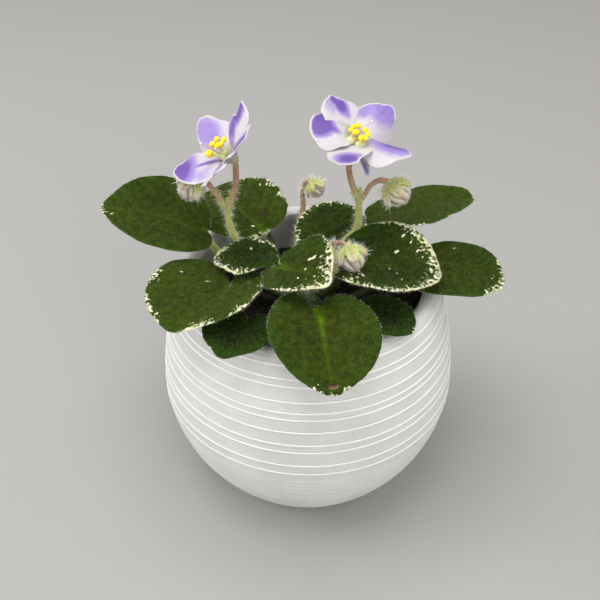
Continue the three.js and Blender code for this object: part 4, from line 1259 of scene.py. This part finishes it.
# %% The petals' colours
def petal_skin():
    recipe = Recipe("violet petal", Roughness=0.5, Subsurface_Weight=0.3,
                    Subsurface_Radius=(0.002, 0.0015, 0.0025), Subsurface_Scale=0.4,
                    Sheen_Weight=0.05, Sheen_Roughness=0.3)
    cloud = recipe.times(recipe.drift(330, 4, 0.6), 0.35)
    lines = recipe.maths("SINE", recipe.times(recipe.number("veins"), 44.0))
    amount = recipe.maths("ADD", recipe.number("violet"), cloud)
    amount = recipe.maths("ADD", amount, recipe.times(lines, 0.02))
    amount = recipe.times(recipe.between(amount, 0.0, 1.25),
                          recipe.between(recipe.number("rim"), 0.25, 1.1))
    light = recipe.mix(recipe.between(amount, 0, 0.6), (0.57, 0.545, 0.57), (0.30, 0.21, 0.53))
    colour = recipe.mix(recipe.between(amount, 0.6, 1.0), light, (0.135, 0.068, 0.325))
    deep = recipe.between(recipe.number("throat"), 4.6, 2.4)
    colour = recipe.mix(recipe.times(deep, 0.55), colour, (0.5, 0.52, 0.27))
    faded = recipe.mix(0.5, colour, (0.5, 0.48, 0.5))
    recipe.colour(recipe.mix(recipe.number("back"), colour, faded))
    recipe.bump(recipe.cells(3200), 0.00006, 0.7)
    return recipe.material


PETAL_SKIN = petal_skin()
print("petal colour nodes:", len(PETAL_SKIN.node_tree.nodes))


# %% The corollas
def throat_part(throat):
    """The short tube that the petals grow out of, closed at its back."""
    turn = around_axis(64)
    outline = np.array([(1.0, -2.6), (1.6, -2.5), (2.1, -2.2), (2.7, -1.4), (3.1, -0.5),
                        (3.0, -0.3), (2.7, -0.6), (2.4, -1.0), (1.8, -1.3)])
    radius, height = np.hsplit(outline, 2)
    shift = np.clip(height + 3, 0, 3) / 3 * (*throat, 0)
    rows = rings(radius, height, turn) + shift[:, None]
    points, faces = loft(rows, (0, 0, -2.65), (0.5 * throat[0], 0.5 * throat[1], -1.4))
    return points, faces, {"throat": 2.2, "rim": 3}, 0


def to_bloom(part, name):
    points, faces, numbers, slot = part
    turn, middle = bloom_frame(name)
    return points @ turn.T + middle, faces, numbers, slot


for name, petals in PETALS.items():
    throat = BLOOMS[name]["throat"]
    parts = [to_bloom(throat_part(throat), name)]
    for seed, (key, petal) in enumerate(petals.items(), 31):
        part = petal_part(petal, throat, LIFTED[name].get(key, 0.0), seed)
        parts.append(to_bloom(part, name))
    piece = make_piece("corolla_" + name, parts, [PETAL_SKIN])
    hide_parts("petals_" + name)
    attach(piece, "root")
    print("corolla", name, "faces:", len(piece.data.polygons))

# %% [markdown]
# ## Anthers and style
#
# Two bright yellow anthers stand in the throat, each a pair of fat lobes on a
# pale curved filament, and beside them the style, a purple thread that ends in
# a pale knob. The lobes are beans: ellipsoids with a furrow down the middle.

# %% Where anthers and styles stand
# Lobes: x, y, height, turn in degrees, half length and half width in mm
ANTHER_LOBES = {
    "left": [(-3.1, 0.4, 5.6, 30, 1.56, 1.02), (-2.7, -1.9, 5.6, 60, 1.5, 1.02),
             (0.3, 0.1, 5.0, -60, 1.32, 0.96), (1.7, 2.1, 5.0, 10, 1.2, 0.96),
             (0.7, 3.4, 5.2, 0, 1.2, 0.9), (0.1, -4.0, 5.0, 70, 1.56, 1.32)],
    "right": [(1.2, 2.6, 3.4, 30, 1.15, 0.95), (-0.5, 2.3, 3.3, 10, 0.9, 0.8),
              (-1.4, 0.7, 3.2, -40, 1.0, 0.9), (0.0, -1.0, 3.5, 20, 1.3, 1.0),
              (3.3, -0.1, 3.6, -20, 1.05, 0.95), (3.9, -2.1, 3.4, -60, 1.1, 0.9),
              (3.0, -3.8, 3.3, -80, 1.1, 0.85), (1.4, -3.9, 3.4, 80, 1.2, 0.9)],
}
# Filaments: swollen foot (x, y, height, half sizes) and where they end
FILAMENTS = {
    "left": [((-1.0, -0.6, 1.0), (1.5, 1.3, 1.5), (-0.6, 0.3, 4.6)),
             ((0.6, -1.6, 0.8), (1.2, 1.1, 1.3), (0.1, -3.4, 4.4))],
    "right": [((-1.3, -0.8, -0.1), (2.2, 1.7, 1.6), (-0.2, 1.0, 2.8)),
              ((1.6, -3.2, 0.1), (1.9, 1.3, 1.3), (3.0, -2.4, 2.9))],
}
STYLES = {"left": ((-1.7, -2.1, 1), (-2.6, -4.2, 8.6)),
          "right": ((0.6, 0.2, 1), (5.6, 2.6, 5.2))}
print("filaments:", sum(len(filaments) for filaments in FILAMENTS.values()))


# %% The small parts of a bloom
def egg_part(middle, size, turn=0.0, furrow=0.0, slot=0):
    """An ellipsoid with a furrow along its length, which is its X axis."""
    rise = np.linspace(0, math.pi, 16)[1:-1, None]
    around = around_axis(24)
    x = np.cos(rise) + 0 * around
    y, z = np.sin(rise) * np.cos(around), np.sin(rise) * np.sin(around)
    dent = 1 - furrow * np.exp(-((y / 0.28) ** 2)) * (z > 0) * np.sin(rise)
    rows = np.stack([x * size[0], y * size[1], z * dent * size[2]], axis=2)
    ends = np.array([[size[0], 0, 0], [-size[0], 0, 0]])
    rotation = turned_by(0, 0, turn).T
    points, faces = loft(rows @ rotation + middle, *(ends @ rotation + middle))
    # `low` is 1 on the lower side; anthers and filaments paint their shade from it
    return points, faces, {"low": on_points(-z, 0, 0)}, slot


def ball_part(middle, size, flush):
    points, faces, _, slot = egg_part(middle, size)
    return points, faces, {"flush": flush, "hair": 1}, slot


def yellow_anther():
    recipe = Recipe("anther", Roughness=0.4, Subsurface_Weight=0.1,
                    Subsurface_Radius=(0.001, 0.0007, 0.0001), Subsurface_Scale=0.3)
    dust = recipe.noise(1300, 3)
    yellow = recipe.mix(recipe.between(dust, 0.3, 0.7), (0.95, 0.7, 0.0), (1.0, 0.86, 0.01))
    # painted shade: the lower side of each lobe is painted orange
    low = recipe.between(recipe.number("low"), -0.1, 0.9)
    recipe.colour(recipe.mix(low, yellow, (0.75, 0.36, 0.0)))
    recipe.bump(dust, 0.00012)
    return recipe.material


def filament_skin():
    recipe = Recipe("filament", Roughness=0.28, Subsurface_Weight=0.2,
                    Subsurface_Radius=(0.002, 0.002, 0.001), Subsurface_Scale=0.4)
    # painted shade: the lower side of a filament is painted a darker yellow green
    low = recipe.between(recipe.number("low"), -0.3, 0.8)
    pale = recipe.mix(recipe.noise(500, 2), (0.72, 0.71, 0.36), (0.62, 0.64, 0.28))
    recipe.colour(recipe.mix(low, pale, (0.42, 0.45, 0.08)))
    recipe.bump(recipe.noise(900, 2), 0.0001)
    return recipe.material


def style_skin():
    recipe = Recipe("style", Roughness=0.4)
    recipe.colour(recipe.mix(recipe.between(recipe.number("flush"), 0.3, 0.7),
                             (0.58, 0.36, 0.58), (0.85, 0.82, 0.82)))
    recipe.bump(recipe.noise(900, 2), 0.00005)
    return recipe.material


ANTHER_SKIN, FILAMENT_SKIN, STYLE_SKIN = yellow_anther(), filament_skin(), style_skin()
print("lobe points:", len(egg_part((0, 0, 0), (1, 1, 1))[0]))

# %% Anthers and styles
for name in BLOOMS:
    parts = []
    for x, y, height, turn, long, wide in ANTHER_LOBES[name]:
        parts.append(egg_part((x, y, height), (long, wide, wide), turn, 0.25))
    for foot, size, end in FILAMENTS[name]:
        parts.append(egg_part(foot, size, slot=1))
        middle = (np.array(foot) + end) / 2 + (0, 0, 0.5)
        parts.append(tube(smooth_line([foot, middle, end], 14), [1.0, 0.7, 0.5], slot=1))
    parts = [to_bloom(part, name) for part in parts]
    piece = make_piece("anther_pair_" + name, parts, [ANTHER_SKIN, FILAMENT_SKIN])
    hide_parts("anthers_" + name)
    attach(piece, "root")
    foot, tip = STYLES[name]
    bend = (np.array(foot) + tip) / 2 + (-0.3, -0.3, 0.4)
    thread = tube(smooth_line([foot, bend, tip], 24), [0.28, 0.18, 0.16], seed=4)
    knob = ball_part(tip, (0.42, 0.38, 0.34), 1)
    piece = make_piece("style_thread_" + name, [to_bloom(thread, name), to_bloom(knob, name)],
                       [STYLE_SKIN])
    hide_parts("style_" + name)
    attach(piece, "root")
print("anther lobes:", sum(len(lobes) for lobes in ANTHER_LOBES.values()))

# %% [markdown]
# ## Stalks, sepals and buds
#
# A stalk rises from the crown, forks into pedicels, and nods under its buds.
# It is yellow green below and red brown above, with long white hairs standing
# straight out, and small green bracts where it forks. Each bud is a furrowed
# egg of pale wound petals, held by five broad ribbed sepals with cream tips
# that start in a small cup.

# %% The stalks' routes
STALKS = {
    "left": {
        "root": (165, 62), "radius": (1.4, 1.15), "bloom": "left",
        "path": [(-15, 4.5, 91), (-23, 6.5, 94), (-26.4, 6, 99), (-28.3, 5, 106),
                 (-28.7, 5, 111.3)],
        "bloom_stem": [(-26.7, 5.6, 116.6), (-25.3, 6.0, 122.5)],
        "bud_stem": [(-32, 6.2, 116.4), (-35.2, 7.8, 120.4), (-38, 8.8, 122.9)],
        "bud": ((-42, 9, 117.2), (-0.45, -0.25, -0.9), 4.3),
    },
    "right": {
        "root": (15, 62), "radius": (1.55, 1.15), "bloom": "right",
        "path": [(8.4, 0.2, 90), (11.4, 2.6, 95.5), (13.3, 5.2, 98.8), (16.9, 6.5, 102.6),
                 (17.5, 7.5, 114)],
        "bloom_stem": [(15.2, 9, 119), (13.6, 10.6, 125.5)],
        "bud_stem": [(19.4, 7.3, 117.2), (21.4, 7, 121), (24, 6.6, 122.9)],
        "bud": ((30.6, 5.6, 118.3), (0.6, -0.2, -0.7), 4.6),
    },
    "back": {
        "root": (100, 62), "radius": (1.15, 0.95), "flush": 0.75,
        "path": [(-4, 14, 87), (-4, 28, 89.5), (-2.4, 35.6, 94.5), (-2.7, 36, 99.6),
                 (-2.2, 36, 102.6)],
        "bud_stem": [(-1.6, 35.9, 105.4)],
        "bud": ((2.8, 35, 102.4), (0.5, -0.35, -0.75), 3.3),
    },
    "front": {
        "root": (-50, 62), "radius": (1.1, 0.9),
        "path": [(4.6, -2.4, 90), (6.4, -1.2, 96), (7, -2.8, 101), (7.6, -6.5, 104.6)],
        "bud_stem": [(8.8, -11, 108.8), (10.8, -13.8, 110.6)],
        "bud": ((14.6, -18, 106.7), (0.3, -0.45, -0.8), 4.2),
        "spent_stem": [(8.2, -10.5, 106.8), (8.2, -14.8, 107.8)],
        "spent": ((8.4, -18.2, 103.8), (0, -0.25, -1), 1.8),
    },
}
BUD_LENGTH, BUD_FURROWS, BUD_TWIST = 0.9, 7, 0.5
BUD_INNER = 0.6  # the sepals stand this far off the bud's petals
print("stalks:", len(STALKS))


# %% Buds and sepals
def bud_frame(middle, axis):
    turn = Vector((0, 0, 1)).rotation_difference(Vector(axis).normalized())
    return np.array(turn.to_matrix()), np.array(middle, float)


def bud_part(bud, furrow=0.22, length=BUD_LENGTH):
    """Wound petals: an egg whose furrows turn as they rise."""
    middle, axis, radius = bud
    turn, centre = bud_frame(middle, axis)
    rise = np.linspace(math.pi, 0, 42)[1:-1, None]
    around = around_axis(80)
    height, wide = np.cos(rise) + 0 * around, np.sin(rise)
    phase = BUD_FURROWS * (around + BUD_TWIST * height)
    fold = 1 - np.abs(np.cos(phase / 2))
    reach = radius * ((1 - furrow * fold * wide**0.5) * (1 + 0.02 * wave(around + 2 * height, 3)))
    rows = np.stack([wide * np.cos(around) * reach, wide * np.sin(around) * reach,
                     height * radius * length], axis=2)
    ends = np.array([[0, 0, -radius * length], [0, 0, radius * length]])
    points, faces = loft(rows @ turn.T + centre, *(ends @ turn.T + centre))
    return points, faces, {"fold": on_points(fold), "hair": 1, "flush": 0.5}, 0


def strip_part(place, length, width, thickness, flush, pale=0.0):
    """A pointed strip such as a sepal: place(u, v, lift) bends it into shape."""
    angle, share = blade_grid(48, 16, 0.85)
    half, turn = length / 2, np.abs(angle)
    edge = 1 / np.hypot(np.cos(turn) / half, np.sin(turn) / (width / 2))
    edge = edge * np.where(turn < math.pi / 2, np.cos(turn * 0.45) ** 0.6, 1)
    u, v = half + share * edge * np.cos(angle), share * edge * np.sin(angle)
    rib = 0.42 * (np.exp(-((v / 0.35) ** 2)) + 0.4 * np.cos(v / 0.32) - 0.2) * (1 - share**3)
    lift = thickness / 2 * np.sqrt(np.clip(1 - share**6, 0, 1))
    spot = np.array([[half]]), np.array([[0.0]])
    ends = [place(*spot, np.array([[s * thickness / 2]]))[0, 0] for s in (1, -1)]
    points, faces = loft(np.concatenate([place(u, v, lift + rib), place(u, v, -lift)[-2::-1]]), *ends)
    line = np.exp(-((v / (0.22 * width)) ** 2)) * np.clip(u / length, 0, 1)
    tip = np.clip((u / length - 0.45) / 0.35, 0, 1)
    numbers = {"flush": both_sides(flush * line), "hair": 1, "pale": both_sides(pale * tip)}
    return points, faces, numbers, 0


def bud_sepal(bud, spin, seed):
    middle, axis, radius = bud
    turn, centre = bud_frame(middle, axis)
    inner = radius + BUD_INNER - 0.25
    rng = np.random.default_rng(seed)
    reach, flare = rng.uniform(1.35, 1.95), rng.uniform(-0.1, 0.4)

    def place(u, v, lift):
        down = u / inner
        out = np.sin(down) * np.cos(v / inner)
        side = -np.sin(v / inner)
        away = inner + 0.3 + lift + flare * np.clip(down - 0.9, 0, None) ** 2
        local = np.stack([away * (out * math.cos(spin) - side * math.sin(spin)),
                          away * (out * math.sin(spin) + side * math.cos(spin)),
                          -away * BUD_LENGTH * np.cos(down) * np.cos(v / inner)], axis=2)
        return local @ turn.T + centre

    return strip_part(place, reach * inner, rng.uniform(0.9, 1.3) * radius, 1.1,
                      rng.uniform(0.5, 1.1), rng.uniform(0.6, 1))


def flat_sepal(centre, rotation, spin, pitch, length, width, bend):
    """A narrow blade behind a bloom, or a bract at a fork."""
    turn = turned_by(0, -pitch, spin)

    def place(u, v, lift):
        local = np.stack([u, v, lift + bend * u**2 + 0.12 * v**2], axis=2)
        return (local @ turn.T) @ rotation.T + centre

    return strip_part(place, length, width, 0.55, 0.5)


print("points of one sepal:", len(bud_sepal(STALKS["left"]["bud"], 0, 60)[0]))


# %% A stalk with its pedicels
def below(frame, depth):
    """The point that far down the axis of a bloom or a bud."""
    turn, centre = frame
    return turn @ np.array([0, 0, -depth]) + centre


def stalk_parts(stalk):
    (thick, thin), flush = stalk["radius"], stalk.get("flush", 0.1)
    spot, normal = crown_spot(*stalk["root"])
    main = [spot, spot + 3 * normal, *stalk["path"]]
    fork = np.array(main[-1], float)
    parts = [tube(smooth_line(main, 70), [thick * 1.1, thick, thin], flush=(0.1, flush), seed=1),
             ball_part(fork, (thin * 1.12,) * 3, 0.15)]

    def pedicel(through, neck, radii, flush):
        line = smooth_line([fork, *through, neck], 44)
        return tube(line, [r * thin for r in radii], flush=flush, seed=2)

    if "bloom" in stalk:
        frame = bloom_frame(stalk["bloom"])
        cup, neck = below(frame, CALYX_DROP), below(frame, CALYX_DROP + 0.7)
        parts.append(pedicel(stalk["bloom_stem"], neck, (1.05, 0.85, 0.95), (0.4, 1.1)))
        parts.append(ball_part(cup, (1.75, 1.75, 1.3), 0.4))
        for i in range(5):
            spin = BLOOMS[stalk["bloom"]]["sepals"] + 72 * i
            parts.append(flat_sepal(cup, frame[0], spin, pitch=42, length=3.8, width=1.7, bend=0.06))
        for spin, rise in ((75, 84), (190, 55)):
            parts.append(flat_sepal(fork, np.eye(3), spin, rise, length=5.2, width=1.8, bend=-0.02))
    if "spent" in stalk:
        middle, axis, radius = stalk["spent"]
        neck = below(bud_frame(middle, axis), 1.6 * radius - 0.4)
        parts.append(pedicel(stalk["spent_stem"], neck, (0.75, 0.6), (0.4, 0.5)))
        parts.append(bud_part(stalk["spent"], 0.5, 1.6))
    middle, axis, radius = stalk["bud"]
    frame, depth = bud_frame(middle, axis), BUD_LENGTH * (radius + BUD_INNER) + 0.5
    neck = below(frame, depth + 0.4)
    parts.append(pedicel(stalk["bud_stem"], neck, (0.9, 0.75, 0.85), (0.35, 1.15)))
    parts.append(ball_part(below(frame, depth), (1.5, 1.5, 1.2), 0.3))
    for i in range(5):
        parts.append(bud_sepal(stalk["bud"], 2 * math.pi * i / 5, 60 + i))
    return parts


print("parts of the left stalk:", len(stalk_parts(STALKS["left"])))


# %% Stalks and buds
def bud_skin():
    """Pale lilac and cream, painted dark brown in the folds as shade between the wound petals."""
    recipe = Recipe("bud petals", Roughness=0.55, Subsurface_Weight=0.3,
                    Subsurface_Radius=(0.002, 0.0015, 0.001), Subsurface_Scale=0.4)
    cloud = recipe.noise(260, 3)
    pale = recipe.mix(recipe.between(cloud, 0.35, 0.65), (0.6, 0.52, 0.56), (0.68, 0.65, 0.47))
    # painted shade: the folds are painted dark brown
    fold = recipe.between(recipe.number("fold"), 0.3, 0.95, 0, 0.85)
    recipe.colour(recipe.mix(fold, pale, (0.3, 0.17, 0.13)))
    recipe.bump(recipe.noise(1100, 3), 0.00012)
    return recipe.material


BUD_SKIN = bud_skin()
for name, stalk in STALKS.items():
    piece = make_piece("stalk_stem_" + name, stalk_parts(stalk), [STEM_SKIN])
    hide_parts("stalk_" + name)
    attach(piece, "root")
    grow_hairs(piece, "stalk_hairs_" + name, SILVER_HAIR, "stem", density=1.6, length=2.1,
               thickness=0.055, lean=0.3, seed=4)
    bud = make_piece("bud_petals_" + name, [bud_part(stalk["bud"])], [BUD_SKIN])
    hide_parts("bud_" + name)
    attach(bud, "root")
    grow_hairs(bud, "bud_hairs_" + name, SILVER_HAIR, "bud", density=1.3, length=1.0,
               thickness=0.04, seed=6)
    print("stalk", name, "faces:", len(piece.data.polygons))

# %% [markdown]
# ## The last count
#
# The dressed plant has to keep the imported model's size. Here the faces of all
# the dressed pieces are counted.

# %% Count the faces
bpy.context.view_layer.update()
shown = [o for o in bpy.data.objects if o.type == "MESH" and not o.get("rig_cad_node")]
print("faces in all:", sum(len(o.data.polygons) for o in shown))
